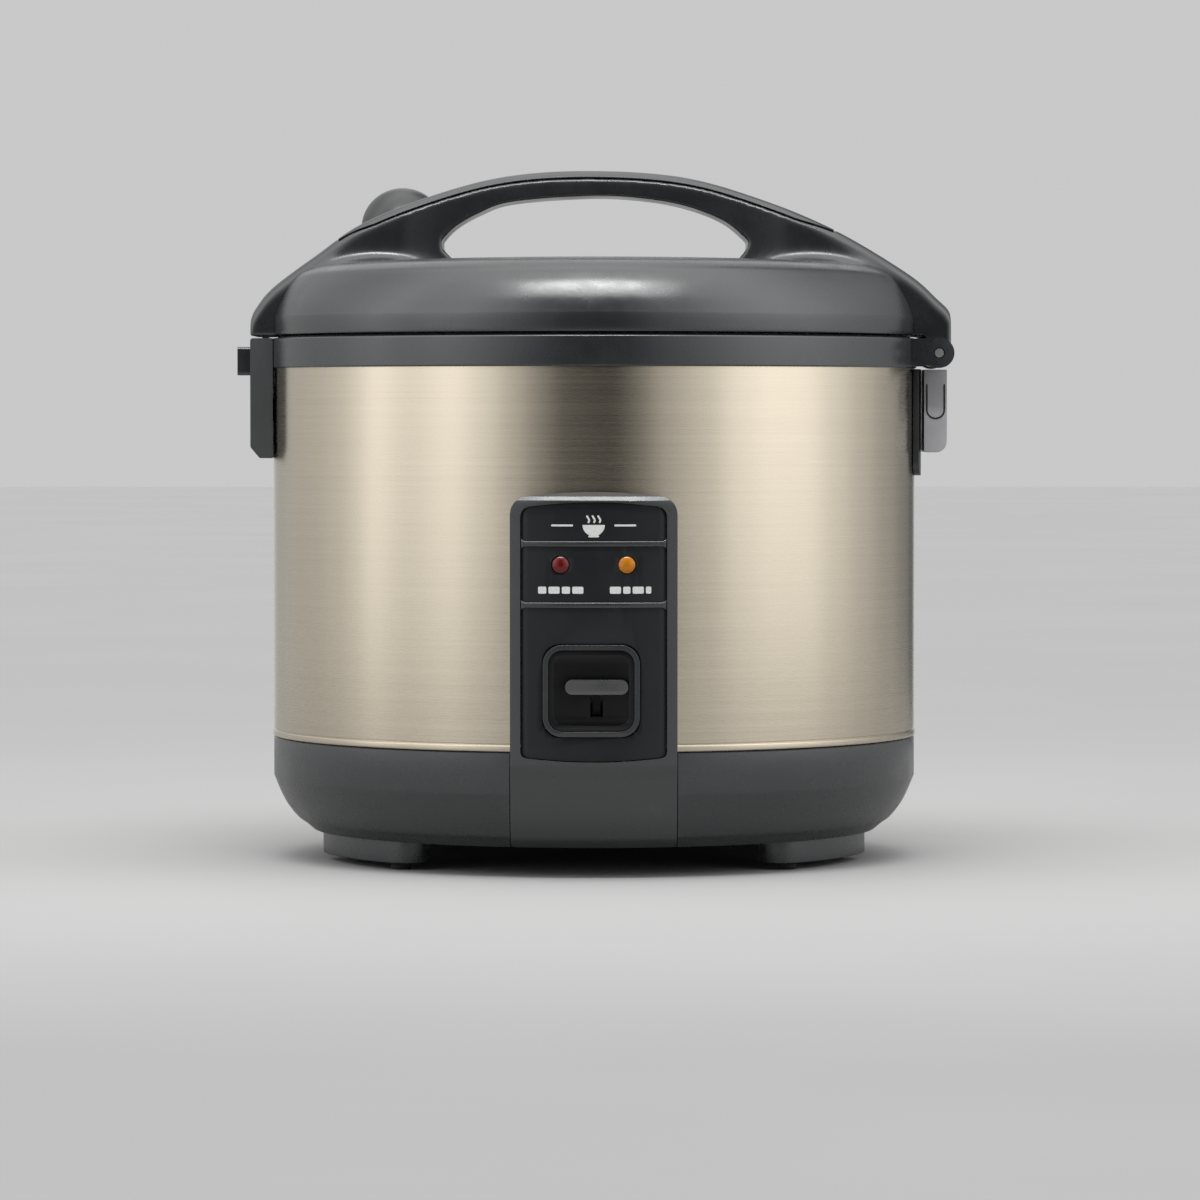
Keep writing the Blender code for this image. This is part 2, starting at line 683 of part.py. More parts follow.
def latch_housing():
    """The strip on the left that holds the hook and its button."""
    outline = [(-149.0, 226.0), (-149.0, 178.5), (-145.2, 174.0), (-130.0, 174.0), (-130.0, 226.0)]
    ob = plate("latch_housing", outline, "XZ", -LUG_HALF, LUG_HALF, SLATE)
    behind = [(0.0, 240.0), (RIM_R + GAP, 240.0), (RIM_R + GAP, 150.0), (0.0, 150.0)]
    cut(ob, turned("housing_back", behind, closed=False))
    cut(ob, box("hook_room", (-147.5, -NOTCH_HALF, 190.0), (-120.0, NOTCH_HALF, 240.0)))
    half = BUTTON_HALF + GAP
    cut(ob, box("button_hole", (-160.0, -half, BUTTON_LOW - GAP), (-140.0, half, BUTTON_TOP + GAP)))
    x, z = HOOK_PIVOT_X, HOOK_PIVOT_Z
    cut(ob, rod("hook_pin_hole", (x, -13, z), (x, 13, z), HOOK_PIN_R + GAP))
    return ob


def hook():
    """The button, the hook it turns, the hook's pin and its return spring."""
    half = BUTTON_HALF
    button = box("hook_button", (-HALF_LENGTH, -half, BUTTON_LOW), (-146.6, half, BUTTON_TOP), SLATE)
    join(button, box("button_flange", (-147.2, -9.5, BUTTON_LOW - 1.2), (-146.2, 9.5, BUTTON_TOP + 1.2)))
    join(button, box("button_nub", (-147.0, -4.0, 213.5), (-145.4, 4.0, 216.5)))
    tip = [(-144.8, 232.0), (-145.1, 232.0), (-145.1, 233.6), (-142.2, 233.6)]
    outline = [(-144.8, 203.0), *tip, (-142.2, 203.0)]
    arm = plate("latch_hook", outline, "XZ", -5.0, 5.0, ZINC)
    x, z = HOOK_PIVOT_X, HOOK_PIVOT_Z
    join(arm, rod("hook_boss", (x, -5.0, z), (x, 5.0, z), 2.9))
    cut(arm, rod("hook_bore", (x, -13, z), (x, 13, z), HOOK_PIN_R + GAP))
    rod("hook_pin", (x, -12.7, z), (x, 12.7, z), HOOK_PIN_R, ZINC)
    coil("latch_spring", (-141.4, 0, HOOK_SPRING_Z), (-131.8, 0, HOOK_SPRING_Z), 2.2, 0.4, 4, ZINC)
    rod("lid_catch", (CATCH_X, -12.0, CATCH_Z), (CATCH_X, 12.0, CATCH_Z), 1.0, ZINC)


# ---------------------------------------------------------------- lid


def lid_shell():
    """The outer dome."""
    inner = offset([(0.0, CROWN), *DOME_SIDE], LID_WALL)
    outer = [(0.0, CROWN), *DOME_SIDE, (BODY_R, LID_BOTTOM)]
    profile = [*outer, (BODY_R - LID_WALL, LID_BOTTOM), *reversed(inner[1:]), (0.0, CROWN - LID_WALL)]
    ob = turned("lid_shell", profile, SLATE, closed=False)
    cut(ob, lid_notch("lid_notch"))
    cut(ob, rod("seat_hole", (STEAM_X, STEAM_Y, 230), (STEAM_X, STEAM_Y, 280), SEAT_R + GAP, sides=MEDIUM))
    for i, x in enumerate((-HANDLE_SCREW_X, HANDLE_SCREW_X)):
        cut(ob, rod(f"screw_hole_{i}", (x, 0, 230), (x, 0, 280), 2.0 + GAP, sides=12))
    return ob


def lid_notch(name):
    """The room for the hook in the lid's left edge."""
    half = NOTCH_HALF + GAP
    return box(name, (-155.0, -half, 220.0), (-133.0, half, 236.0))


def lid_inner_frame():
    """The tray that closes the lid from below and holds the inner lid."""
    profile = [
        (0.0, 240.0),
        (122.5, 240.0),
        (124.0, 229.6),
        (137.2, 229.6),
        (137.2, LID_BOTTOM),
        (121.8, LID_BOTTOM),
        (120.4, 238.2),
        (0.0, 238.2),
    ]
    ob = turned("lid_inner_frame", profile, SLATE, closed=False)
    cut(ob, lid_notch("frame_notch"))
    cut(ob, rod("duct_hole", (STEAM_X, STEAM_Y, 230), (STEAM_X, STEAM_Y, 280), DUCT_R, sides=MEDIUM))
    return ob


def inner_lid():
    """The aluminium plate over the pan, with its steam holes and its rubber seal."""
    flange = [(107.0, 231.4), (114.0, 231.4), (114.0, 230.4), (106.6, 230.4)]
    profile = [(0.0, 233.0), (104.0, 233.0), *flange, (103.6, 232.0)]
    ob = turned("inner_lid", [*profile, (0.0, 232.0)], ALUMINIUM, closed=False)
    for i in range(6):
        turn = math.radians(60 * i)
        x, y = STEAM_X + 6 * math.cos(turn), STEAM_Y + 6 * math.sin(turn)
        cut(ob, rod(f"steam_hole_{i}", (x, y, 225), (x, y, 238), 1.6, sides=10))
    seal = [(120.0, 236.5), (120.8, 225.0), (119.5, 224.0), (112.5, 224.4), (117.0, 226.0), (114.3, 230.0)]
    seal += [(114.3, 236.5)]
    turned("lid_gasket", seal, SILICONE, steps=48)


def handle_section(half, top, edge):
    """One cross-section of the handle: flat sides and a rounded top."""
    points = [(-half, LID_BOTTOM - 0.4)]
    for angle in (180, 150, 120, 90):
        turn = math.radians(angle)
        points.append((-half + edge + edge * math.cos(turn), top - edge + edge * math.sin(turn)))
    return points + [(-y, z) for y, z in reversed(points)]


HANDLE_TOP = [
    (-149.0, 234.0),
    (-146.8, 239.0),
    (-139.0, 248.3),
    (-120.0, 262.4),
    (-100.0, 276.0),
    (-67.0, 289.0),
    (-36.0, 296.6),
    (0.0, 298.7),
    (38.0, 296.0),
    (70.0, 287.2),
    (104.0, 273.2),
    (136.0, 254.2),
    (149.0, 243.0),
    (154.0, 238.0),
    (154.8, 234.0),
]


def handle_half(x):
    """Half the handle's width: slim at the grip, wider where its legs meet the lid."""
    leg = math.exp(-(((abs(x) - 105.0) / 32.0) ** 2))
    end = 1.0 / (1.0 + math.exp((118.0 - abs(x)) / 8.0))
    return 19.5 + 5.5 * leg + 3.5 * end * (1 - leg)


def handle_loft(name, lower, start, end, look=None):
    """The fin between the lid and the handle's top line, its top lowered by a given amount."""
    line = [p for p in smooth(HANDLE_TOP, 2) if start <= p[0] <= end]
    bm = bmesh.new()
    rings = []
    for x, top in line:
        half = min(handle_half(x), LUG_HALF)
        section = handle_section(half, top - lower, min(6.0, top - lower - LID_BOTTOM))
        rings.append([bm.verts.new((x * MM, y * MM, z * MM)) for y, z in section])
    for a, b in zip(rings, rings[1:]):
        for i in range(len(a)):
            j = (i + 1) % len(a)
            bm.faces.new((a[i], a[j], b[j], b[i]))
    bm.faces.new(rings[0])
    bm.faces.new(rings[-1])
    return make(name, bm, look)


def finger_outline():
    """The opening under the handle, seen from the front."""
    top = [(-66.3, 268.0), (-60.5, 274.0), (-50.0, 280.2), (-35.0, 285.2), (0.0, 287.7)]
    top += [(24.0, 286.2), (42.0, 282.6), (57.0, 276.4), (67.0, 268.0)]
    low = [(66.0, 264.0), (61.0, 260.5), (58.0, 255.0), (-58.0, 255.0), (-60.0, 260.5), (-65.3, 264.0)]
    return smooth(top, 2) + low


def handle_core():
    """The arch, with the latch pocket at one end and the hinge knuckle at the other."""
    ob = handle_loft("handle_core", 0.0, -149.0, 154.8, SLATE)
    cut(ob, dome_solid("dome_room", GAP))
    cut(ob, plate("finger_hole", finger_outline(), "XZ", -40.0, 40.0))
    cut(ob, cover_room())
    join(ob, rod("knuckle", (HINGE_X, -LUG_HALF, HINGE_Z), (HINGE_X, LUG_HALF, HINGE_Z), KNUCKLE_R, sides=24))
    join(ob, box("knuckle_root", (143.4, -LUG_HALF, HINGE_Z), (HINGE_X + KNUCKLE_R, LUG_HALF, 231.0)))
    cut(ob, rod("knuckle_bore", (HINGE_X, -40, HINGE_Z), (HINGE_X, 40, HINGE_Z), BORE_R))
    cut(ob, rod("spring_room", (HINGE_X, -8.0, HINGE_Z), (HINGE_X, 8.0, HINGE_Z), 7.0, sides=24))
    half = NOTCH_HALF + GAP
    cut(ob, box("hook_pocket", (-147.6, -half, 220.0), (-130.0, half, 235.6)))
    cut(ob, rod("catch_hole", (CATCH_X, -12.3, CATCH_Z), (CATCH_X, 12.3, CATCH_Z), 1.0 + GAP, sides=12))
    for i, x in enumerate((-HANDLE_SCREW_X, HANDLE_SCREW_X)):
        cut(ob, rod(f"core_screw_hole_{i}", (x, 0, 240), (x, 0, 268), 2.0 + GAP, sides=12))
    return ob


def cover_slab(name, lower, thick, grow, look=None):
    """A strip that follows the handle's top line."""
    start, end = COVER_ENDS[0] - grow, COVER_ENDS[1] + grow
    line = [p for p in smooth(HANDLE_TOP, 2) if start <= p[0] <= end]
    upper = [(x, z - lower) for x, z in line]
    under = [(x, z - lower - thick) for x, z in reversed(line)]
    ob = plate(name, upper + under, "XZ", -30.0, 30.0, look)
    return ob


def cover_room():
    return cover_slab("cover_seat", -20.0, 20.0 + COVER_T + GAP, 1.0)


def handle_cover():
    """The top plate of the handle."""
    ob = handle_loft("handle_cover", 0.0, *COVER_ENDS, SLATE)
    keep(ob, cover_slab("cover_strip", -1.0, 1.0 + COVER_T, 0.0))
    return ob


def steam_vent():
    """The seat in the lid and the domed cap that lifts out of it."""
    centre = (STEAM_X, STEAM_Y)
    seat = [(SEAT_R, 261.4), (SEAT_R, 240.3), (13.2, 240.3), (13.2, 261.4)]
    turned("steam_seat", seat, DARK, steps=MEDIUM, centre=centre)
    rise = STEAM_TOP - STEAM_SPRING
    outer = arc((0.0, 0.0), 1.0, 90, 0, 6)
    inner = arc((0.0, 0.0), 1.0, 0, 90, 6)
    cap = [
        (0.0, STEAM_TOP),
        *[(STEAM_R * u, STEAM_SPRING + rise * v) for u, v in outer[1:]],
        (STEAM_R, 261.8),
        (12.7, 261.8),
        (12.7, 246.0),
        (10.6, 246.0),
        (10.6, 262.4),
        (16.0, 264.0),
        *[(16.0 * u, STEAM_SPRING + (rise - 3.0) * v) for u, v in inner[:-1]],
        (0.0, STEAM_TOP - 3.0),
    ]
    ob = turned("steam_cap", cap, DARK, steps=MEDIUM, closed=False, centre=centre)
    for i, x in enumerate((-7.0, 0.0, 7.0)):
        lo, hi = (STEAM_X + x - 2.0, STEAM_Y + 5.0, 266.0), (STEAM_X + x + 2.0, STEAM_Y + 25.0, 275.0)
        cut(ob, box(f"steam_slot_{i}", lo, hi))
    return ob


def lid_screws():
    for name, x in (("handle_screw_left", -HANDLE_SCREW_X), ("handle_screw_right", HANDLE_SCREW_X)):
        screw = [(0.0, 266.0), (2.0, 266.0), (2.0, 256.0), (4.0, 254.0), (4.0, 252.0), (0.0, 252.0)]
        turned(name, screw, ZINC, steps=12, closed=False, centre=(x, 0.0))


# ---------------------------------------------------------------- hinge and dew collector


def hinge():
    rod("hinge_pin", (HINGE_X, -EAR_OUT + 0.5, HINGE_Z), (HINGE_X, EAR_OUT - 0.5, HINGE_Z), PIN_R, ZINC)
    start, end = (HINGE_X, -6.5, HINGE_Z), (HINGE_X, 6.5, HINGE_Z)
    coil("hinge_spring", start, end, 3.6, 0.6, 4, ZINC)


def dew_collector():
    """The cup that catches condensed water, and the bracket it pushes on to."""
    mount_r = BODY_R + GAP
    shape = [(142.8, 212.6), (142.8, 166.5), (mount_r, 166.5), (mount_r, 212.6)]
    mount = turned("dew_collector_mount", shape, DARK, steps=120)
    outline = rounded((-24.0, 166.5), (24.0, 212.6), (6, 6, 1, 1), 4)
    keep(mount, plate("mount_outline", outline, "YZ", 100.0, 160.0))
    low, top, corner = CUP_LOW, CUP_TOP, 6.0
    side = [(CUP_INNER, top), (CUP_INNER, low), *arc((CUP_OUTER - corner, low + corner), corner, -90, 0, 5)]
    cup = plate("dew_collector", [*side, (CUP_OUTER, top)], "XZ", -CUP_HALF, CUP_HALF, SMOKED)
    near, far, bend = CUP_INNER + CUP_WALL, CUP_OUTER - 1.5, corner - 1.5
    floor = low + 1.7
    hollow = [(near, 216.0), (near, floor), *arc((far - bend, floor + bend), bend, -90, 0, 4), (far, 216.0)]
    cut(cup, plate("cup_hollow", hollow, "XZ", CUP_WALL - CUP_HALF, CUP_HALF - CUP_WALL))


def base_screws():
    for place, x, y in four_places(BASE_SCREW_X, BASE_SCREW_Y):
        screw = [(0.0, 24.0), (1.8, 24.0), (1.8, 12.2), (3.6, 12.2), (3.6, 10.2), (0.0, 10.2)]
        turned(f"base_screw_{place}", screw, ZINC, steps=12, closed=False, centre=(x, y))
        hole = rod(f"base_screw_hole_{place}", (x, y, 8), (x, y, 20), 1.8 + GAP, sides=12)
        cut(bpy.data.objects["base_cover"], hole)


def main():
    clear_scene()
    base_cover()
    base_screws()
    foot_pads()
    outer_shell()
    rim_ring()
    inner_well()
    keep_warm_heater()
    heater()
    inner_pan()
    sensor()
    power_inlet()
    control_housing()
    panel_face()
    lamps()
    switch_bezel()
    switch_lever()
    linkage()
    latch_housing()
    hook()
    lid_shell()
    lid_inner_frame()
    inner_lid()
    handle_core()
    handle_cover()
    steam_vent()
    lid_screws()
    hinge()
    dew_collector()


main()
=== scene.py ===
"""Looks of the lever-switch rice cooker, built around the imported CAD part.

Shapes are drawn in millimetres in the part's own frame: the origin is on the floor under the body,
+Z is up, the control panel faces -Y and the hinge is at +X. Sizes come from the CAD nodes' boxes.
"""

import json
from math import cos, exp, hypot, pi, radians, sin, sqrt, tan

import bmesh
import bpy
from mathutils import Matrix, Vector

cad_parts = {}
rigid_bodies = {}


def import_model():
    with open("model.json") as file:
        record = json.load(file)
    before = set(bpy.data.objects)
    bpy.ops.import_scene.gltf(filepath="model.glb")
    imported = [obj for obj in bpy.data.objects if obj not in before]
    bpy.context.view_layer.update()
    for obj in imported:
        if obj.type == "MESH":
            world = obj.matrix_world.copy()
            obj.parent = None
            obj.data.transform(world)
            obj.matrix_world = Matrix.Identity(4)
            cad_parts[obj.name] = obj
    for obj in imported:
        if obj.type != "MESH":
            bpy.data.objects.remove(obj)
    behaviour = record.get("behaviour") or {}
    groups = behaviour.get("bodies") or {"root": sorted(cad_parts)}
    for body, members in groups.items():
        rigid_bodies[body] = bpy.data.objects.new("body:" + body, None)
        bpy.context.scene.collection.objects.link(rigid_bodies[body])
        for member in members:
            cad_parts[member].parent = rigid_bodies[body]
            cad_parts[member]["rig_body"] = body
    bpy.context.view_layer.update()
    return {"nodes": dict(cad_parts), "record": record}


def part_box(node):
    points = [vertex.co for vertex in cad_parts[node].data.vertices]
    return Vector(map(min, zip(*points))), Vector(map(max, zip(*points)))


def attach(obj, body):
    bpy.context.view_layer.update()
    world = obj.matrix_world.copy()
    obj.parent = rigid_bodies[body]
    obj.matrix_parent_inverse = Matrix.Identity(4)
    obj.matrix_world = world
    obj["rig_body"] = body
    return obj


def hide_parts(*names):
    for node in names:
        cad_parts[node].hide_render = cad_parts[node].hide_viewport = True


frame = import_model()
MM = 0.001
FINE = 256  # sides of a turned surface


def low(node):
    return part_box(node)[0] / MM


def high(node):
    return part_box(node)[1] / MM


def middle(node):
    return (low(node) + high(node)) / 2


# Sizes read from the CAD
BODY_R = high("outer_shell").x
STEEL_LOW, STEEL_TOP = low("outer_shell").z, high("outer_shell").z
RIM_R = -low("rim_ring").x
RIM_LOW, RIM_TOP = low("rim_ring").z, high("rim_ring").z
BASE_LOW, BASE_TOP = 12.5, high("base_cover").z
FOOT_LOW = low("base_cover").z
PANEL_HALF, _, PANEL_TOP = high("control_housing")
PANEL_R = -low("control_housing").y
FACE_HALF, _, FACE_TOP = high("panel_face")
FACE_LOW = low("panel_face").z
FACE_R = PANEL_R - 1.7
LAMP_Z = middle("lamp_lens_cook").z
LAMP_X = high("lamp_lens_warm").x - 3.5
BEZEL_LOW, BEZEL_HIGH = low("switch_bezel"), high("switch_bezel")
LEVER_LOW, LEVER_HIGH = low("switch_lever"), high("switch_lever")
LEVER_X, _, LEVER_Z = middle("switch_lever")
LID_LOW, CROWN = low("lid_shell").z, high("lid_shell").z
HINGE_X, _, HINGE_Z = middle("hinge_pin")
HANDLE_LOW_X, HANDLE_HIGH_X = low("handle_core").x, high("handle_core").x
LUG_HALF = high("latch_housing").y
COVER_START, COVER_END = low("handle_cover").x, high("handle_cover").x
CAP_X, CAP_Y, _ = middle("steam_cap")
CAP_R = high("steam_cap").x - CAP_X
CAP_TOP = high("steam_cap").z
PAN_LOW = low("inner_pan").z
LIP_R, _, PAN_TOP = high("inner_pan")
WELL_R = high("inner_well").x - 5


# --- outlines


def arc(centre, radius, start, end, count):
    """Points along an arc, with angles in degrees."""
    turns = [radians(start + (end - start) * i / (count - 1)) for i in range(count)]
    return [(centre[0] + radius * cos(t), centre[1] + radius * sin(t)) for t in turns]


def rounded(lo, hi, radii, count=9):
    """A rectangle whose corners (bottom left, bottom right, top right, top left) have these radii."""
    bl, br, tr, tl = radii
    return (
        arc((lo[0] + bl, lo[1] + bl), bl, 180, 270, count)
        + arc((hi[0] - br, lo[1] + br), br, 270, 360, count)
        + arc((hi[0] - tr, hi[1] - tr), tr, 0, 90, count)
        + arc((lo[0] + tl, hi[1] - tl), tl, 90, 180, count)
    )


def fillet(points, radius, closed=True, steps=5):
    """Rounds each corner of an outline. A third value in a point is that corner's own radius."""
    count = len(points)
    result = []
    for i, point in enumerate(points):
        here = Vector(point[:2])
        if not closed and i in (0, count - 1):
            result.append(tuple(here))
            continue
        before = Vector(points[i - 1][:2]) - here
        after = Vector(points[(i + 1) % count][:2]) - here
        own = point[2] if len(point) > 2 else radius
        inside = before.angle(after)
        if own <= 0 or inside > radians(176):
            result.append(tuple(here))
            continue
        reach = min(own / tan(inside / 2), 0.48 * before.length, 0.48 * after.length)
        a = here + before.normalized() * reach
        b = here + after.normalized() * reach
        weight = sin(inside / 2)
        for k in range(steps + 1):
            t = k / steps
            parts = ((1 - t) ** 2, 2 * t * (1 - t) * weight, t**2)
            result.append(tuple((a * parts[0] + here * parts[1] + b * parts[2]) / sum(parts)))
    return result


def catmull_rom(t, p, q, r, s):
    square, cube = 2 * p - 5 * q + 4 * r - s, 3 * q - p - 3 * r + s
    return 0.5 * (2 * q + (r - p) * t + square * t**2 + cube * t**3)


def smooth(points, count):
    """A Catmull-Rom curve through the points, with count steps for each span."""
    padded = [points[0], *points, points[-1]]
    line = []
    for a, b, c, d in zip(padded, padded[1:], padded[2:], padded[3:]):
        for i in range(count):
            line.append(tuple(catmull_rom(i / count, *ends) for ends in zip(a, b, c, d)))
    return [*line, points[-1]]


def offset(profile, inward):
    """Moves a (radius, height) outline inward along its own normals."""
    moved = []
    for i, (r, z) in enumerate(profile):
        before = profile[max(i - 1, 0)]
        after = profile[min(i + 1, len(profile) - 1)]
        along = Vector((after[0] - before[0], after[1] - before[1])).normalized()
        moved.append((r + along.y * inward, z - along.x * inward))
    return moved


def value_at(line, x, flip=False):
    """The second coordinate of a line at a given first coordinate, or the other way round."""
    pairs = [(q, p) if flip else (p, q) for p, q in line]
    pairs.sort()
    if x <= pairs[0][0]:
        return pairs[0][1]
    for (a, va), (b, vb) in zip(pairs, pairs[1:]):
        if a <= x <= b:
            return va if b == a else va + (vb - va) * (x - a) / (b - a)
    return pairs[-1][1]


# --- meshes


def placed(name, data):
    """A new object in the scene that shows this data."""
    ob = bpy.data.objects.new(name, data)
    bpy.context.scene.collection.objects.link(ob)
    return ob


def link(name, bm):
    bmesh.ops.recalc_face_normals(bm, faces=bm.faces)
    mesh = bpy.data.meshes.new(name)
    bm.to_mesh(mesh)
    bm.free()
    return placed(name, mesh)


def turned(name, profile, steps=FINE, closed=None, centre=(0, 0)):
    """Turns (radius, height) points about an upright axis. A profile that starts on the axis is left open."""
    closed = profile[0][0] > 1e-6 if closed is None else closed
    bm = bmesh.new()
    rows = []
    for r, z in profile:
        sides = 1 if r < 1e-6 else steps
        row = []
        for i in range(sides):
            turn = 2 * pi * i / steps
            place = (centre[0] + r * cos(turn), centre[1] + r * sin(turn), z)
            row.append(bm.verts.new(Vector(place) * MM))
        rows.append(row)
    pairs = list(zip(rows, rows[1:]))
    if closed:
        pairs.append((rows[-1], rows[0]))
    for a, b in pairs:
        if len(a) == len(b) == 1:
            continue
        for i in range(steps):
            j = (i + 1) % steps
            if len(a) == 1:
                bm.faces.new((a[0], b[i], b[j]))
            elif len(b) == 1:
                bm.faces.new((a[i], b[0], a[j]))
            else:
                bm.faces.new((a[i], b[i], b[j], a[j]))
    return link(name, bm)


def box(name, lo, hi):
    bm = bmesh.new()
    bmesh.ops.create_cube(bm, size=1)
    lo, hi = Vector(lo) * MM, Vector(hi) * MM
    bmesh.ops.scale(bm, vec=hi - lo, verts=bm.verts)
    bmesh.ops.translate(bm, vec=(lo + hi) / 2, verts=bm.verts)
    return link(name, bm)


def rod(name, start, end, radius, sides=48):
    a, b, r = Vector(start) * MM, Vector(end) * MM, radius * MM
    bm = bmesh.new()
    bmesh.ops.create_cone(bm, cap_ends=True, segments=sides, radius1=r, radius2=r, depth=(b - a).length)
    turn = Vector((0, 0, 1)).rotation_difference(b - a).to_matrix().to_4x4()
    bmesh.ops.transform(bm, matrix=Matrix.Translation((a + b) / 2) @ turn, verts=bm.verts)
    return link(name, bm)


def upright(name, x, y, bottom, top, radius, sides=48):
    return rod(name, (x, y, bottom), (x, y, top), radius, sides)


def hinge_rod(name, half, radius, sides=48):
    """A round bar on the hinge's axis."""
    return rod(name, (HINGE_X, -half, HINGE_Z), (HINGE_X, half, HINGE_Z), radius, sides)


PLANES = {
    "XY": Matrix.Identity(4),
    "XZ": Matrix.Rotation(pi / 2, 4, "X"),
    "YZ": Matrix(((0, 0, 1, 0), (1, 0, 0, 0), (0, 1, 0, 0), (0, 0, 0, 1))),
}


def evaluated(ob):
    """What an object's curve or modifiers make, as a new mesh."""
    bpy.context.view_layer.update()
    return bpy.data.meshes.new_from_object(ob.evaluated_get(bpy.context.evaluated_depsgraph_get()))


def flat_solid(loops, thickness):
    """A bmesh of the area inside the first outline and outside the others, from 0 up to a thickness."""
    curve = bpy.data.curves.new("outline", "CURVE")
    curve.dimensions = "2D"
    curve.fill_mode = "BOTH"
    curve.extrude = thickness / 2 * MM
    for loop in loops:
        spline = curve.splines.new("POLY")
        spline.points.add(len(loop) - 1)
        for point, (u, v) in zip(spline.points, loop):
            point.co = (u * MM, v * MM, 0, 1)
        spline.use_cyclic_u = True
    ob = placed("outline", curve)
    mesh = evaluated(ob)
    bpy.data.objects.remove(ob, do_unlink=True)
    bm = bmesh.new()
    bm.from_mesh(mesh)
    bmesh.ops.remove_doubles(bm, verts=bm.verts, dist=1e-6)
    bmesh.ops.translate(bm, vec=(0, 0, thickness / 2 * MM), verts=bm.verts)
    bmesh.ops.recalc_face_normals(bm, faces=bm.faces)
    return bm


def round_edges(bm, level, width, segments=4):
    """Bevels the outline edges that lie at one height of a flat solid."""
    edges = []
    for edge in bm.edges:
        if any(abs(v.co.z - level * MM) > 1e-6 for v in edge.verts):
            continue
        normals = [abs(f.normal.z) for f in edge.link_faces]
        if len(normals) == 2 and min(normals) < 0.5 < max(normals):
            edges.append(edge)
    settings = {"offset_type": "OFFSET", "profile": 0.5, "affect": "EDGES", "clamp_overlap": True}
    bmesh.ops.bevel(bm, geom=edges, offset=width * MM, segments=segments, **settings)


def plate(name, loops, plane, lo, hi, near=0, far=0, segments=4):
    """A flat shape thickened from lo to hi along the plane's normal, its edges rounded at lo and hi."""
    bm = flat_solid(loops, hi - lo)
    flip = plane == "XZ"
    low_edge, high_edge = (far, near) if flip else (near, far)
    if high_edge:
        round_edges(bm, hi - lo, high_edge, segments)
    if low_edge:
        round_edges(bm, 0, low_edge, segments)
    shift = -hi if flip else lo
    bmesh.ops.translate(bm, vec=(0, 0, shift * MM), verts=bm.verts)
    bmesh.ops.transform(bm, matrix=PLANES[plane], verts=bm.verts)
    return link(name, bm)


def sliced(bm, place, normal):
    """Adds edges where a plane crosses a bmesh."""
    everything = bm.verts[:] + bm.edges[:] + bm.faces[:]
    bmesh.ops.bisect_plane(bm, geom=everything, plane_co=Vector(place) * MM, plane_no=normal, dist=1e-7)


def wrapped(name, loops, front, thickness, edge=0, step=3, levels=(), segments=5):
    """A plate drawn from the front and laid on the body: front(z) is its outer radius at each height."""
    bm = flat_solid(loops, thickness)
    if edge:
        round_edges(bm, thickness, edge, segments)
    xs = [v.co.x / MM for v in bm.verts]
    for x in stations(min(xs), max(xs), step):
        sliced(bm, (x, 0, 0), (1, 0, 0))
    for z in levels:
        sliced(bm, (0, z, 0), (0, 1, 0))
    for v in bm.verts:
        x, z, depth = v.co.x / MM, v.co.y / MM, thickness - v.co.z / MM
        reach = front(z) - depth
        v.co = Vector((x, -sqrt(reach**2 - x**2), z)) * MM
    return link(name, bm)


def stations(start, end, step):
    count = max(int((end - start) / step), 1)
    return [start + (end - start) * i / count for i in range(1, count)]


def apply(ob):
    """Replaces an object's mesh by what its modifiers make of it."""
    mesh = evaluated(ob)
    ob.modifiers.clear()
    ob.data = mesh
    return ob


def combine(ob, other, operation):
    mod = ob.modifiers.new("combine", "BOOLEAN")
    mod.operation = operation
    mod.object = other
    mod.solver = "EXACT"
    apply(ob)
    bpy.data.objects.remove(other, do_unlink=True)
    return ob


def cut(ob, other):
    return combine(ob, other, "DIFFERENCE")


def join(ob, other):
    return combine(ob, other, "UNION")


def bevelled(ob, width, segments, angle):
    mod = ob.modifiers.new("edges", "BEVEL")
    mod.width = width * MM
    mod.segments = segments
    mod.limit_method = "ANGLE"
    mod.angle_limit = radians(angle)
    return ob


def soften(ob, width):
    return apply(bevelled(ob, width, 3, 50))


def remeshed(ob, voxel, rounds):
    """Turns a joined shape into an even skin whose edges are softly rounded, as on a moulding."""
    mod = ob.modifiers.new("skin", "REMESH")
    mod.mode = "VOXEL"
    mod.voxel_size = voxel * MM
    mod.use_smooth_shade = True
    relax = ob.modifiers.new("relax", "SMOOTH")
    relax.factor = 0.5
    relax.iterations = rounds
    return apply(ob)


def facing_front(ob, x, z):
    """Turns a shape made about Z so that its top faces -Y, at a place on the panel."""
    ob.data.transform(Matrix.Translation((x * MM, 0, z * MM)) @ Matrix.Rotation(pi / 2, 4, "X"))
    return ob


# --- materials


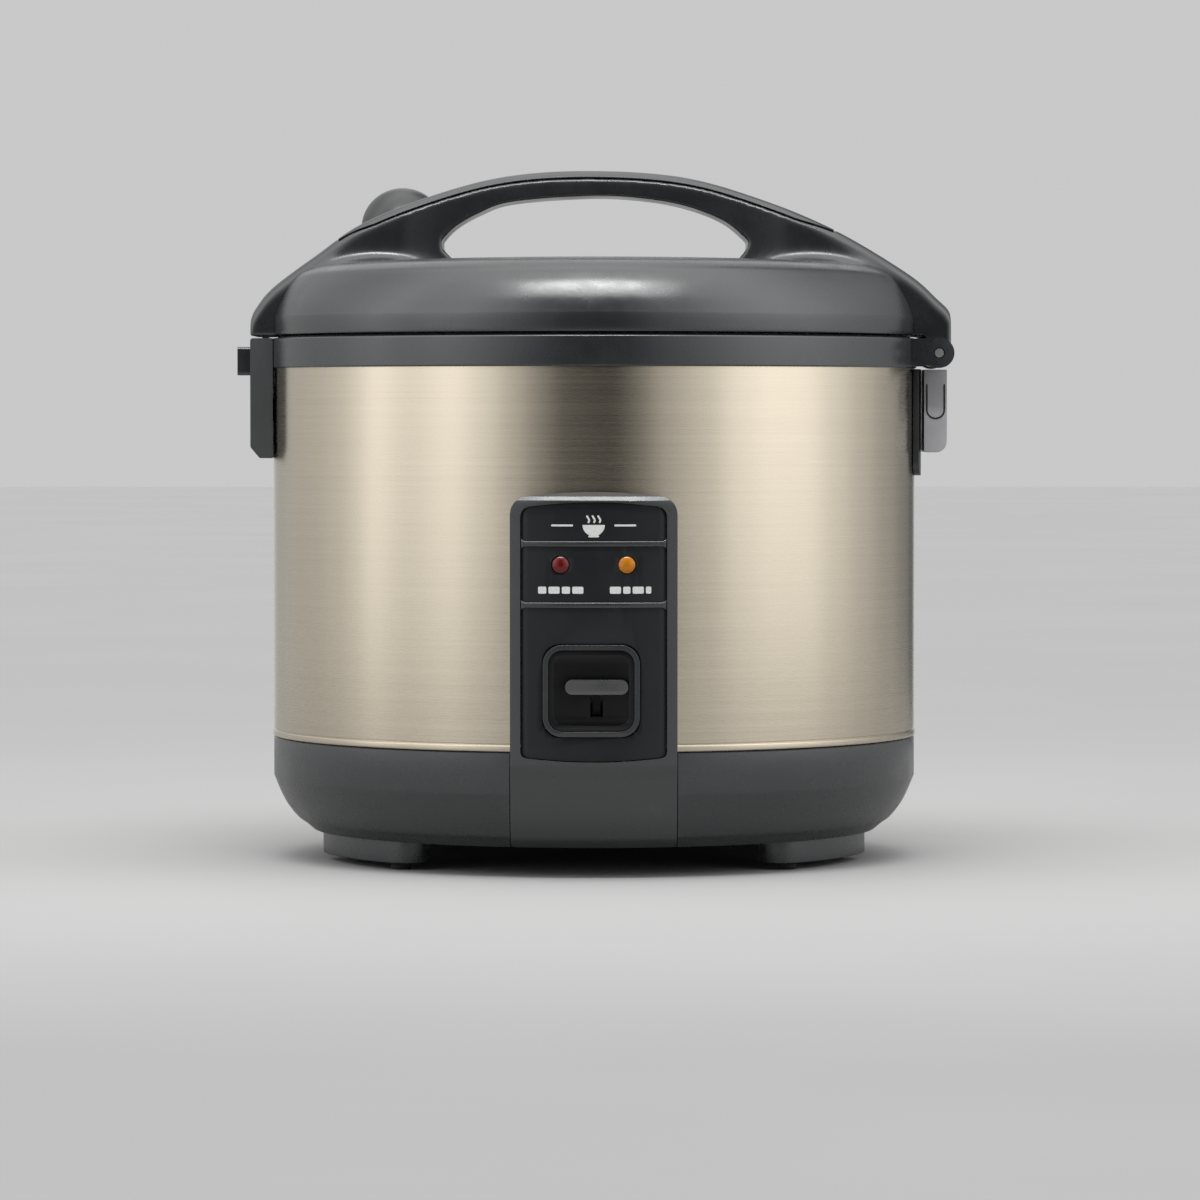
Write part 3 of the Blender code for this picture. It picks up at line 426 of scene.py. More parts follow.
class Graph:
    """Short ways to add nodes to a material or a world."""

    def __init__(self, owner):
        owner.use_nodes = True
        self.tree = owner.node_tree

    def node(self, kind, settings=None, **inputs):
        made = self.tree.nodes.new(kind)
        for key, value in (settings or {}).items():
            setattr(made, key, value)
        for key, value in inputs.items():
            self.put(made.inputs[key.replace("_", " ")], value)
        return made

    def put(self, socket, value):
        if isinstance(value, bpy.types.NodeSocket):
            self.tree.links.new(value, socket)
        else:
            socket.default_value = value

    def spread(self, value, start, end, low_value, high_value):
        """Maps a value from one range to another."""
        ends = {"From_Min": start, "From_Max": end, "To_Min": low_value, "To_Max": high_value}
        return self.node("ShaderNodeMapRange", Value=value, **ends).outputs["Result"]

    def blend(self, share, first, second):
        """Mixes two colours."""
        made = self.node("ShaderNodeMix", {"data_type": "RGBA"})
        self.put(made.inputs[0], share)
        for socket, colour in ((made.inputs[6], first), (made.inputs[7], second)):
            self.put(socket, colour if isinstance(colour, bpy.types.NodeSocket) else (*colour, 1))
        return made.outputs[2]

    def total(self, first, second, share):
        """first plus a share of second."""
        made = self.node("ShaderNodeMath", {"operation": "MULTIPLY_ADD"})
        for socket, value in zip(made.inputs, (second, share, first)):
            self.put(socket, value)
        return made.outputs[0]


class Look(Graph):
    """A procedural material whose pattern is fixed to the piece."""

    def __init__(self, name):
        self.material = bpy.data.materials.new(name)
        super().__init__(self.material)
        self.shader = self.tree.nodes["Principled BSDF"]
        self.place = self.node("ShaderNodeTexCoord").outputs["Object"]

    def set(self, **values):
        for key, value in values.items():
            self.put(self.shader.inputs[key.replace("_", " ")], value)

    def stretched(self, scale):
        return self.node("ShaderNodeMapping", Vector=self.place, Scale=scale).outputs["Vector"]

    def noise(self, scale, detail=3, roughness=0.5, vector=None):
        settings = {"Vector": vector or self.place, "Scale": scale, "Detail": detail, "Roughness": roughness}
        return self.node("ShaderNodeTexNoise", **settings).outputs["Fac"]

    def edges(self):
        """1 on convex edges, 0 elsewhere."""
        return self.spread(self.node("ShaderNodeNewGeometry").outputs["Pointiness"], 0.505, 0.56, 0, 1)

    def share(self, value, low_value=0, high_value=1):
        """Stretches a noise's usual range."""
        return self.spread(value, 0.3, 0.7, low_value, high_value)

    def bump(self, height, strength, distance):
        made = self.node("ShaderNodeBump", Height=height, Strength=strength, Distance=distance * MM)
        self.set(Normal=made.outputs["Normal"])


def shade(colour, gain, lift=0):
    return tuple(min(c * gain + lift, 1) for c in colour)


def plastic(name, colour, roughness, tint=0.12, grain=1500, depth=0.05, wear=0.35, level=0.9, ior=1.5):
    """Moulded plastic: faint clouding, a fine spark-eroded texture, and edges rubbed slightly lighter."""
    look = Look(name)
    clouds = look.noise(14, 4, 0.6)
    fine = look.noise(grain, 2, 0.6)
    body = look.blend(look.share(clouds), shade(colour, 1 - tint), shade(colour, 1 + tint))
    speckled = look.blend(look.spread(fine, 0.35, 0.75, 0, 0.35), body, shade(colour, 1.35))
    worn = look.blend(look.spread(look.edges(), 0, 1, 0, wear), speckled, shade(colour, 1.9, 0.01))
    sheen = look.share(look.noise(55, 5, 0.65), roughness - 0.05, roughness + 0.06)
    look.set(Base_Color=worn, Roughness=sheen, IOR=ior, Specular_IOR_Level=level)
    look.bump(look.total(fine, look.noise(grain * 0.37, 2), 0.6), 0.35, depth)
    return look.material


def brushed_steel():
    """Satin stainless sheet: hair-fine grain running round the body, with the odd deeper scratch."""
    look = Look("brushed_steel")
    grain = look.noise(1, 3, 0.6, look.stretched((9, 9, 2600)))
    bands = look.noise(1, 2, 0.5, look.stretched((1.6, 1.6, 420)))
    scratches = look.noise(1, 1, 0.4, look.stretched((24, 24, 3200)))
    both = look.total(grain, bands, 0.4)
    colour = look.blend(look.spread(both, 0.45, 0.95, 0, 1), (0.60, 0.535, 0.43), (0.66, 0.59, 0.475))
    worn = look.blend(look.spread(scratches, 0.70, 0.82, 0, 0.3), colour, (0.78, 0.73, 0.64))
    rough = look.spread(both, 0.45, 0.95, 0.24, 0.30)
    tangent = look.node("ShaderNodeTangent", {"direction_type": "RADIAL", "axis": "Z"}).outputs["Tangent"]
    look.set(Base_Color=worn, Roughness=rough, Metallic=1, Tangent=tangent)
    look.set(Anisotropic=0.88, Anisotropic_Rotation=0.25)
    look.bump(both, 0.08, 0.01)
    return look.material


def metal(name, colour, roughness, stretch=(1, 1, 1), scale=220, depth=0.02, spots=0):
    """Bare metal with rolling or casting marks and faint staining."""
    look = Look(name)
    marks = look.noise(scale, 4, 0.6, look.stretched(stretch))
    stain = look.noise(26, 5, 0.65)
    base = look.blend(look.share(marks), shade(colour, 0.86), colour)
    dull = look.blend(look.spread(stain, 0.5, 0.8, 0, 0.35 + spots), base, shade(colour, 0.62))
    bright = look.blend(look.spread(look.edges(), 0, 1, 0, 0.4), dull, shade(colour, 1.2))
    rough = look.spread(stain, 0.3, 0.8, roughness - 0.05, roughness + 0.12)
    look.set(Base_Color=bright, Roughness=rough, Metallic=1)
    look.bump(marks, 0.25, depth)
    return look.material


def pan_coating():
    """Dark non-stick coating with pale flecks and faint stir marks."""
    look = Look("pan_coating")
    cells = look.node("ShaderNodeTexVoronoi", Vector=look.place, Scale=420).outputs["Distance"]
    base = look.blend(look.noise(30, 4), (0.022, 0.022, 0.024), (0.034, 0.034, 0.036))
    flecked = look.blend(look.spread(cells, 0.10, 0.16, 0.8, 0), base, (0.16, 0.16, 0.165))
    swirl = look.noise(1, 3, 0.5, look.stretched((30, 30, 800)))
    rough = look.share(swirl, 0.30, 0.44)
    look.set(Base_Color=flecked, Roughness=rough)
    look.bump(look.total(cells, swirl, 0.4), 0.2, 0.03)
    return look.material


def soft_rubber(name, colour, roughness=0.72):
    look = Look(name)
    fine = look.noise(900, 3, 0.6)
    dust = look.noise(70, 5, 0.7)
    base = look.blend(look.spread(dust, 0.4, 0.8, 0, 0.5), colour, shade(colour, 1.6, 0.01))
    look.set(Base_Color=base, Roughness=look.share(dust, roughness - 0.08, roughness + 0.1))
    look.bump(fine, 0.4, 0.05)
    return look.material


def smoked_cup():
    """Grey translucent plastic of the water cup, slightly cloudy where it is thick."""
    look = Look("smoked_cup")
    haze = look.noise(60, 4, 0.6)
    base = look.blend(look.share(haze), (0.47, 0.465, 0.50), (0.54, 0.535, 0.57))
    look.set(Base_Color=base, Roughness=look.share(haze, 0.16, 0.28))
    look.set(Transmission_Weight=0.20, IOR=1.49)
    look.bump(look.noise(300, 2), 0.08, 0.03)
    return look.material


def lens(name, deep, bright, glow):
    """A moulded indicator lens, brighter in its middle, with a ribbed inner face."""
    look = Look(name)
    wave = {"Vector": look.place, "Scale": 700, "Distortion": 1}
    ribs = look.node("ShaderNodeTexWave", {"bands_direction": "Z"}, **wave).outputs["Fac"]
    cloud = look.noise(500, 3)
    share = look.total(look.share(cloud, 0, 0.7), ribs, 0.3)
    colour = look.blend(share, deep, bright)
    look.set(Base_Color=colour, Roughness=look.share(cloud, 0.12, 0.2), IOR=1.49)
    look.set(Emission_Color=colour, Emission_Strength=glow, Coat_Weight=0.15)
    look.bump(ribs, 0.08, 0.05)
    return look.material


def print_ink():
    look = Look("print_ink")
    speck = look.noise(2200, 2)
    colour = look.blend(look.share(speck), (0.62, 0.63, 0.62), (0.78, 0.78, 0.76))
    look.set(Base_Color=colour, Roughness=look.share(speck, 0.45, 0.6))
    look.bump(speck, 0.1, 0.02)
    return look.material


def floor_look():
    """Pale matt paper seen from above only, which bounces less light back at the object than it shows."""
    look = Look("studio_floor")
    cloud = look.noise(2, 5, 0.6)
    shade = look.share(cloud)
    seen = look.blend(shade, (0.43, 0.43, 0.43), (0.45, 0.45, 0.45))
    bounced = look.blend(shade, (0.32, 0.32, 0.32), (0.34, 0.34, 0.34))
    colour = look.blend(look.node("ShaderNodeLightPath").outputs["Is Camera Ray"], bounced, seen)
    look.set(Base_Color=colour, Roughness=look.share(cloud, 0.85, 0.95), Specular_IOR_Level=0)
    look.bump(look.noise(300, 3), 0.05, 0.1)
    behind = look.node("ShaderNodeNewGeometry").outputs["Backfacing"]
    clear = look.node("ShaderNodeMixShader")
    glass = look.node("ShaderNodeBsdfTransparent").outputs[0]
    for socket, value in zip(clear.inputs, (behind, look.shader.outputs["BSDF"], glass)):
        look.put(socket, value)
    look.put(look.tree.nodes["Material Output"].inputs["Surface"], clear.outputs[0])
    return look.material


FRAME = plastic("frame_plastic", (0.0145, 0.0168, 0.0182), 0.30, level=1, ior=1.6)
DARK = plastic("dark_plastic", (0.0085, 0.0098, 0.0107), 0.32, wear=0.25)
STRIP = plastic("strip_plastic", (0.027, 0.031, 0.033), 0.50)
RING = plastic("ring_plastic", (0.028, 0.031, 0.033), 0.26, depth=0.02)
# Near-black, darker than the panel's own plastic: painted shade over dark plastic, used inside the switch
# recess, behind the lamp holes, on the lever stem and on the zinc linkage arm
SHADE_BLACK = plastic("shade_black_plastic", (0.003, 0.003, 0.0033), 0.34, depth=0.02, wear=0.6, level=0.5)
LEVER = plastic("lever_plastic", (0.040, 0.041, 0.043), 0.30, depth=0.02, level=1, ior=1.8)
INK = print_ink()

INSET = {"tint": 0.06, "depth": 0.02, "wear": 0.5, "level": 0.55}
NODE_LOOKS = {
    "slate_plastic": plastic("slate_plastic", (0.0130, 0.0155, 0.0173), 0.27, level=1, ior=1.54),
    "dark_plastic": DARK,
    "inset_plastic": plastic("inset_plastic", (0.0065, 0.0085, 0.0105), 0.36, **INSET),
    "lever_plastic": LEVER,
    "brushed_band": brushed_steel(),
    "well_aluminium": metal("well_aluminium", (0.72, 0.72, 0.73), 0.38, (1, 1, 30), 60),
    "cast_aluminium": metal("cast_aluminium", (0.58, 0.58, 0.59), 0.50, scale=700, depth=0.12, spots=0.2),
    "zinc": metal("zinc", (0.62, 0.62, 0.60), 0.34, scale=300),
    "rubber": soft_rubber("rubber", (0.014, 0.014, 0.015)),
    "silicone": soft_rubber("silicone", (0.36, 0.365, 0.37), 0.6),
    "pan_coating": pan_coating(),
    "red_lens": lens("red_lens", (0.075, 0.001, 0.001), (0.15, 0.003, 0.003), 0.04),
    "amber_lens": lens("amber_lens", (0.36, 0.11, 0.001), (0.52, 0.19, 0.003), 0.12),
    "board": plastic("board", (0.02, 0.10, 0.045), 0.5, tint=0.2),
    "smoked_clear": smoked_cup(),
}
NODE_SLOTS = {part["node"]: part["material_slot"] for part in frame["record"]["subparts"]}
NODE_BODIES = {node: ob["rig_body"] for node, ob in frame["nodes"].items()}


def dress(ob, like, look=None, stands_for=True, angle=32):
    """Finishes a piece: smooth faces, a material, and the body and slot of the CAD node it belongs to."""
    for face in ob.data.polygons:
        face.use_smooth = True
    ob.data.set_sharp_from_angle(angle=radians(angle))
    ob.data.materials.clear()
    ob.data.materials.append(look or NODE_LOOKS[NODE_SLOTS[like]])
    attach(ob, NODE_BODIES[like])
    if stands_for:
        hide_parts(like)
    return ob


# --- profiles that neighbours share

BASE_CURVE = [(BODY_R, 36), (136.9, 28.5), (134, 23.2), (129.8, 18), (126.3, 15.4), (122.8, BASE_LOW)]
BASE_SIDE = smooth(BASE_CURVE, 5)
DOME_CURVE = [(0, CROWN), (40, CROWN - 0.1), (82, 259.7), (115, 258), (127.6, 254.8)]
DOME_SIDE = smooth([*DOME_CURVE, (133, 250), (137.5, 242), (BODY_R, 235)], 8)
APRON_CURVE = [(143, 42.6), (141.4, 38), (137.8, 28.5), (134.9, 22.8), (130.6, 17.6), (127, 14.8)]
APRON_SIDE = [
    *((PANEL_R - 3.6, PANEL_TOP), (PANEL_R - 1.2, PANEL_TOP - 1.8), (PANEL_R - 0.2, PANEL_TOP - 3.6)),
    *((PANEL_R, PANEL_TOP - 5.4), (PANEL_R, 49.4), (PANEL_R - 0.4, 47.6), (PANEL_R - 1.6, 45.6)),
    *smooth([*APRON_CURVE, (123.2, BASE_LOW)], 4),
]


def apron_front(z):
    return value_at(APRON_SIDE, z, flip=True)


# --- body


def mirrored(points):
    return [(-x, z) for x, z in reversed(points)]


def bowed_top(side, top, bow, corner, sweep, steps):
    """Two round corners with a crest between them that is bowed upward."""
    crest = [(side * (1 - 2 * i / steps), top - bow * (1 - 2 * i / steps) ** 2) for i in range(steps + 1)]
    right = arc((side, top - bow - corner), corner, 0, sweep, 7)
    return [*right, *crest[1:-1], *mirrored(right)]


def strip_outline(half, bottom, top, bow, corner, foot_corner):
    """A tall strip whose top edge is bowed upward."""
    base = arc((-half + foot_corner, bottom + foot_corner), foot_corner, 180, 270, 4)
    return [*base, *mirrored(base), *bowed_top(half - corner, top, bow, corner, 78, 16)]


def window_outline(half, bottom, top, bow, top_corner, low_corner):
    """The inset's outline: bowed upward at the top and downward at the bottom."""
    side = half - low_corner
    sag = [(side * (2 * i / 14 - 1), bottom + bow * (2 * i / 14 - 1) ** 2) for i in range(15)]
    right = arc((side, bottom + bow + low_corner), low_corner, -80, 0, 5)
    crown = bowed_top(half - top_corner, top, bow, top_corner, 80, 14)
    return [*mirrored(right), *sag[1:-1], *right, *crown]


def bezel_outline(shrink, corner):
    lo = (BEZEL_LOW.x + shrink, BEZEL_LOW.z + shrink)
    hi = (BEZEL_HIGH.x - shrink, BEZEL_HIGH.z - shrink)
    return rounded(lo, hi, (corner,) * 4)


def circle(x, z, radius, count=40):
    return arc((x, z), radius, 0, 360 - 360 / count, count)


def foot_outline(middle, half=16, inner=101, outer=120):
    """An arc-shaped foot seen from above, centred on a direction in degrees from +X."""
    mid, end = (inner + outer) / 2, (outer - inner) / 2
    points = arc((0, 0), outer, middle - half, middle + half, 24)
    for sign in (1, -1):
        angle = radians(middle + sign * half)
        tip = (mid * cos(angle), mid * sin(angle))
        start = middle + sign * half + (0 if sign > 0 else 180)
        points += arc(tip, end, start, start + 180, 12)[1:-1]
        if sign > 0:
            points += arc((0, 0), inner, middle + half, middle - half, 20)
    return points


def base_bowl():
    floor = BASE_LOW + 2.5
    inner = offset(BASE_SIDE, 2.5)
    outer = [(BODY_R - 0.5, BASE_TOP), (BODY_R, BASE_TOP - 0.5), *BASE_SIDE]
    hole = [(9.6, BASE_LOW), (9, BASE_LOW + 0.6), (9, floor)]
    profile = [*outer, *hole, (121, floor), *reversed(inner[:-2]), (BODY_R - 2.5, BASE_TOP)]
    ob = turned("base_bowl", profile)
    for i in range(8):
        turn = Matrix.Rotation(radians(i * 45 + 22.5), 2)
        slot = arc((30, 0), 2, 90, 270, 8) + arc((58, 0), 2, -90, 90, 8)
        cut(ob, plate("vent", [[turn @ Vector(point) for point in slot]], "XY", 5, 20))
    room = turned("apron_room", [(160, 60), (160, 5), (119.6, 5), (119.6, 60)], 64)
    half = PANEL_HALF + 0.35
    combine(room, box("apron_strip", (-half, -170, 0), (half, -100, 80)), "INTERSECT")
    cut(ob, room)
    cut(ob, plate("inlet_room", [rounded((-21.3, 19.7), (21.3, 47.3), (5.2,) * 4, 6)], "XZ", 125, 150))
    for x, y in ((-50, -66), (50, -66), (-50, 66), (50, 66)):
        cut(ob, upright("screw_room", x, y, 8, 20, 2.1, 24))
    dress(ob, "base_cover")


def feet():
    directions = {"rear_left": 152, "rear_right": 28, "front_right": -28, "front_left": -152}
    for place, direction in directions.items():
        foot = plate(f"foot_{place}", [foot_outline(direction)], "XY", FOOT_LOW, BASE_LOW + 1, 3.2, 0, 6)
        dress(foot, "base_cover", stands_for=False, angle=50)
    for place in sorted(directions):
        node = f"foot_pad_{place}"
        top = high(node).z
        profile = [(0, top, 0), (4.4, top), (3.8, 0, 1.4), (2.4, 0, 0.4), (2, 0.5), (0, 0.5, 0)]
        dress(turned(f"pad_{place}", fillet(profile, 0.3, False), 40, centre=middle(node).xy), node)


def steel_band():
    inner, bead = BODY_R - 0.8, BODY_R + 0.35
    face = [(BODY_R, STEEL_TOP, 0.25), (BODY_R, STEEL_LOW + 3.4, 0.3)]
    back = [(inner, STEEL_LOW, 0.1), (inner, STEEL_TOP, 0.1)]
    hem = [(BODY_R - 0.45, STEEL_LOW + 3, 0.2), (bead, STEEL_LOW + 2.4, 0.5), (bead, STEEL_LOW + 0.1, 0.6)]
    ob = turned("steel_band", fillet([*face, *hem, *back], 0.2, True, 3), 384)
    cut(ob, box("window", (-28, -150, 57), (28, -120, 140)))
    dress(ob, "outer_shell")


def rim():
    land, rest = LID_LOW - 0.55, PAN_TOP - 1.7
    seam = [(125.5, land, 0.3), (137.8, land, 0.3), (138.2, RIM_TOP, 0.2)]
    side = [(RIM_R, RIM_TOP, 0.9), (RIM_R, RIM_LOW, 0.7), (RIM_R - 3, RIM_LOW, 0.2)]
    inside = [(RIM_R - 3, 219, 0.4), (113, 219, 0.3), (113, rest, 0.4), (123, rest, 0.6)]
    ob = turned("rim_frame", fillet([*seam, *side, *inside], 0.4))
    cut(ob, box("notch", (-150, -10, 205), (-131, 10, 230)))
    ear = high("rim_ring").x - HINGE_X
    for near, far in ((-34, -24), (24, 34)):
        knuckle = rod("ear", (HINGE_X, near, HINGE_Z), (HINGE_X, far, HINGE_Z), ear, 64)
        join(knuckle, box("ear_root", (136.5, near, HINGE_Z - 5.4), (HINGE_X, far, HINGE_Z + 6.2)))
        join(ob, soften(knuckle, 0.6))
    cut(ob, hinge_rod("bore", 40, 2.4))
    cut(ob, hinge_rod("knuckle_room", 23.9, 7.3, 64))
    dress(ob, "rim_ring")


def inlet():
    outer = rounded((-21, 20), (21, 47), (5,) * 4)
    inner = rounded((-16.5, 24.5), (16.5, 42.5), (3,) * 4)
    body = plate("inlet_socket", [outer], "XZ", 128, 146, 0.3, 1)
    cut(body, plate("inlet_room", [inner], "XZ", 132, 152))
    for x in (-9, 9):
        cut(body, rod("pin_room", (x, 124, 33.5), (x, 135, 33.5), 2.6, 24))
    dress(body, "power_inlet")
    for node in ("inlet_pin_left", "inlet_pin_right"):
        front, back = -low(node).y, -high(node).y
        profile = fillet([(0, front, 0), (2.3, front, 0.2), (2.3, back, 1.4), (0, back, 0)], 0.2, False, 5)
        dress(facing_front(turned(f"{node}_round", profile, 32), *middle(node).xz), node)


# --- control panel


def housing():
    """The grey frame round the panel, whose lower end is the apron in the base."""
    outline = strip_outline(PANEL_HALF, BASE_LOW, PANEL_TOP, 1.7, 7.5, 2)
    window = window_outline(FACE_HALF + 0.3, FACE_LOW - 0.3, FACE_TOP + 0.3, 1.6, 4.5, 2.6)
    levels = [z for _, z in APRON_SIDE if BASE_LOW + 0.2 < z < PANEL_TOP - 0.2]
    ob = wrapped("panel_housing", [outline, window], apron_front, 4.6, 1.6, 3, levels)
    dress(ob, "control_housing", FRAME, angle=45)
    ob.modifiers.new("normals", "WEIGHTED_NORMAL").keep_sharp = True


def inset():
    """The near-black face with its two grey bars; its printed marks are drawn by marks()."""
    outline = window_outline(FACE_HALF, FACE_LOW, FACE_TOP, 1.6, 4.3, 2.4)
    holes = [circle(x, LAMP_Z, 3.8) for x in (-LAMP_X, LAMP_X)]
    loops = [outline, bezel_outline(-0.3, 7.3), *holes]
    ob = wrapped("panel_inset", loops, lambda z: FACE_R, 2, 0.35, 3, (), 2)
    dress(ob, "panel_face", angle=45)
    half = FACE_HALF + 0.2
    for name, z in (("bar_upper", 139.7), ("bar_lower", 114.4)):
        right = [(half - 1.6, z - 1.15), (half, z - 2.2), (half, z + 2.2), (half - 1.6, z + 1.15)]
        bar = wrapped(name, [[*right, *mirrored(right)]], lambda z: PANEL_R - 0.5, 3, 0.5, 3, (), 3)
        dress(bar, "panel_face", FRAME, False, 45)


def stroke(points, width):
    """The outline of a line of constant width."""
    sides = ([], [])
    for i, point in enumerate(points):
        before, after = Vector(points[max(i - 1, 0)]), Vector(points[min(i + 1, len(points) - 1)])
        normal = (after - before).normalized().orthogonal() * width / 2
        sides[0].append(tuple(Vector(point) + normal))
        sides[1].append(tuple(Vector(point) - normal))
    return [*sides[0], *reversed(sides[1])]


def marks():
    """Plain printed pictograms: a steaming bowl between two thin rules, and dashes under the lamps."""
    z = 147.3
    shapes = [arc((0, z + 0.2), 4.6, 180, 360, 25), rounded((-2.2, z - 4.9), (2.2, z - 4.1), (0.3,) * 4, 3)]
    for x in (-2.3, 0, 2.3):
        wave = [(x + 0.45 * sin(1.6 * t), z + 1.1 + t) for t in [i * 0.25 for i in range(13)]]
        shapes.append(stroke(wave, 0.75))
    for side in (-1, 1):
        lo, hi = sorted((side * 8.5, side * 17.5))
        shapes.append(rounded((lo, z - 0.4), (hi, z + 0.4), (0.35,) * 4, 4))
    shapes += dashes(-13.6, 120.6, (3.4, 4.6, 3.4, 4.6)) + dashes(15.2, 120.6, (4.6, 3, 4.6, 2.2))
    for i, outline in enumerate(shapes):
        ob = wrapped(f"print_{i:02d}", [outline], lambda z: FACE_R + 0.06, 0.1, 0, 3)
        dress(ob, "panel_face", INK, False)


def dashes(x, z, lengths):
    """A row of short printed bars under a lamp."""
    gap = 0.9
    start = x - (sum(lengths) + gap * (len(lengths) - 1)) / 2
    shapes = []
    for length in lengths:
        shapes.append(rounded((start, z - 1.45), (start + length, z + 1.45), (0.5,) * 4, 4))
        start += length + gap
    return shapes


def lamp_lenses():
    for kind, x in (("cook", -LAMP_X), ("warm", LAMP_X)):
        node = f"lamp_lens_{kind}"
        front, back = -low(node).y, -high(node).y
        dome = arc((0, front - 6), 6, 90, 56, 8)
        profile = [(0, front), *dome[1:], (3.5, front - 1.5), (3.5, back), (0, back)]
        dress(facing_front(turned(f"lens_{kind}", profile, 48), x, LAMP_Z), node)
        top, bottom = FACE_R - 0.7, FACE_R - 1.85
        ring = fillet([(4.5, top), (4.5, bottom), (3.8, bottom), (3.8, top)], 0.2, True, 3)
        collar = facing_front(turned(f"lens_{kind}_collar", ring, 48), x, LAMP_Z)
        # The collar seen in the gap round each lamp is coloured near-black as painted shade
        dress(collar, "panel_face", SHADE_BLACK, False)


def bezel():
    """A raised ring, the sunken land inside it and the recess that the lever sits in."""
    front, back = -BEZEL_LOW.y, -BEZEL_HIGH.y
    loops = [bezel_outline(0, 8), bezel_outline(2.1, 6)]
    ring = plate("bezel_ring", loops, "XZ", -front, -back, 0.9, 0, 5)
    dress(ring, "switch_bezel", RING, False)
    well = plate("bezel_well", [bezel_outline(2, 6)], "XZ", 1.6 - front, -back)
    cut(well, plate("recess", [bezel_outline(4.4, 4.6)], "XZ", -157.5, -137.5))
    soften(well, 0.9)
    cut(well, box("slot", (LEVER_X - 2.6, -140, LEVER_Z - 12.5), (LEVER_X + 2.6, -130, LEVER_Z + 3)))
    # The well and its recess are coloured near-black: dark plastic with painted shade on top
    dress(well, "switch_bezel", SHADE_BLACK)


def lever():
    x, z = LEVER_X, LEVER_Z
    outline = rounded((LEVER_LOW.x, LEVER_LOW.z), (LEVER_HIGH.x, LEVER_HIGH.z), (2.9,) * 4, 10)
    knob = plate("lever_knob", [outline], "XZ", LEVER_LOW.y, -139.8, 2.6, 0.4, 8)
    dress(knob, "switch_lever", LEVER)
    stem = box("lever_stem", (x - 1.8, -140.5, z - 1.6), (x + 1.8, LEVER_HIGH.y, z + 1.6))
    # The stem, deep in the slot, is coloured near-black as painted shade
    dress(stem, "switch_lever", SHADE_BLACK, False)


# --- latch and dew collector


def latch():
    lo, hi = low("latch_housing"), high("latch_housing")
    front = [(lo.x, hi.z, 1.2), (lo.x, 178.8, 2), (-145, lo.z, 1.2)]
    outline = fillet([*front, (-130, lo.z, 0), (-130, hi.z, 0)], 1, True, 4)
    strip = plate("latch_strip", [outline], "XZ", lo.y, hi.y, 2.2, 2.2, 5)
    behind = RIM_R + 0.3
    cut(strip, turned("back", [(0, 240), (behind, 240), (behind, 150), (0, 150)]))
    cut(strip, box("hook_room", (-147.5, -10, 190), (-120, 10, 240)))
    hole = rounded((-8.3, 209.7), (8.3, 222.7), (1.5,) * 4, 5)
    cut(strip, plate("button_hole", [hole], "YZ", -160, -140))
    pin = middle("hook_pin")
    cut(strip, rod("pin_hole", (pin.x, -13, pin.z), (pin.x, 13, pin.z), 1.6, 32))
    dress(strip, "latch_housing", STRIP, angle=45)
    face = low("hook_button").x
    outline = rounded((-8, 210), (8, 222.4), (1.4,) * 4, 6)
    button = plate("button_cap", [outline], "YZ", face, -146.6, 1.3, 0, 5)
    join(button, box("flange", (-147.2, -9.5, 208.8), (-146.2, 9.5, 223.6)))
    join(button, box("nub", (-147, -4, 213.5), (-145.6, 4, 216.5)))
    dress(button, "hook_button", angle=45)


def dew_collector():
    mount_lo, mount_hi = low("dew_collector_mount"), high("dew_collector_mount")
    outline = rounded((mount_lo.y, mount_lo.z), (mount_hi.y, mount_hi.z), (6, 6, 1, 1), 8)
    bm = flat_solid([outline], 2.5)
    round_edges(bm, 2.5, 0.7, 3)
    for y in stations(mount_lo.y, mount_hi.y, 2):
        sliced(bm, (y, 0, 0), (1, 0, 0))
    for v in bm.verts:
        y, z, proud = v.co.x, v.co.y, v.co.z
        v.co = Vector((sqrt((BODY_R * MM + 0.0003 + proud) ** 2 - y**2), y, z))
    dress(link("collector_bracket", bm), "dew_collector_mount")
    lo, hi = low("dew_collector"), high("dew_collector")
    side = [(lo.x, hi.z, 0.5), (lo.x, lo.z, 1.2), (hi.x, lo.z, 6), (hi.x, hi.z, 0.5)]
    cup = plate("collector_cup", [fillet(side, 1, True, 10)], "XZ", lo.y, hi.y, 1.1, 1.1, 4)
    left, right, floor = lo.x + 1.6, hi.x - 1.5, lo.z + 1.7
    hollow = [(left, 216, 0), (left, floor, 0.8), (right, floor, 4.6), (right, 216, 0)]
    cut(cup, plate("hollow", [fillet(hollow, 0.8, True, 8)], "XZ", lo.y + 1.6, hi.y - 1.6))
    dress(cup, "dew_collector", angle=45)
    mid, reach = (lo.x + hi.x) / 2, (hi.x - lo.x) / 2 - 1.1
    for side_y, name in ((lo.y + 0.15, "front"), (hi.y - 0.15, "rear")):
        rib = [(mid - reach, 206), *arc((mid, 195), reach, 180, 360, 13), (mid + reach, 206)]
        bead = plate(f"fill_line_{name}", [stroke(rib, 0.7)], "XZ", side_y - 0.3, side_y + 0.3)
        dress(bead, "dew_collector", DARK, False)


# --- lid


def hook_notch():
    """The room in the lid for the latch hook."""
    return box("notch", (-155, -10.3, 220), (-133, 10.3, 236))


def lid_dome():
    inner = offset(DOME_SIDE[6:], 2.4)
    skirt = [(BODY_R, LID_LOW + 0.7), (BODY_R - 0.2, LID_LOW + 0.2), (BODY_R - 0.7, LID_LOW)]
    profile = [*DOME_SIDE, *skirt, (BODY_R - 2.4, LID_LOW), *reversed(inner), (0, CROWN - 2.4)]
    ob = turned("lid_dome", profile)
    cut(ob, hook_notch())
    cut(ob, upright("seat_hole", CAP_X, CAP_Y, 230, 280, 20.3, 96))
    for x in (-90, 90):
        cut(ob, upright("screw_hole", x, 0, 230, 280, 2.3, 24))
    dress(ob, "lid_shell")


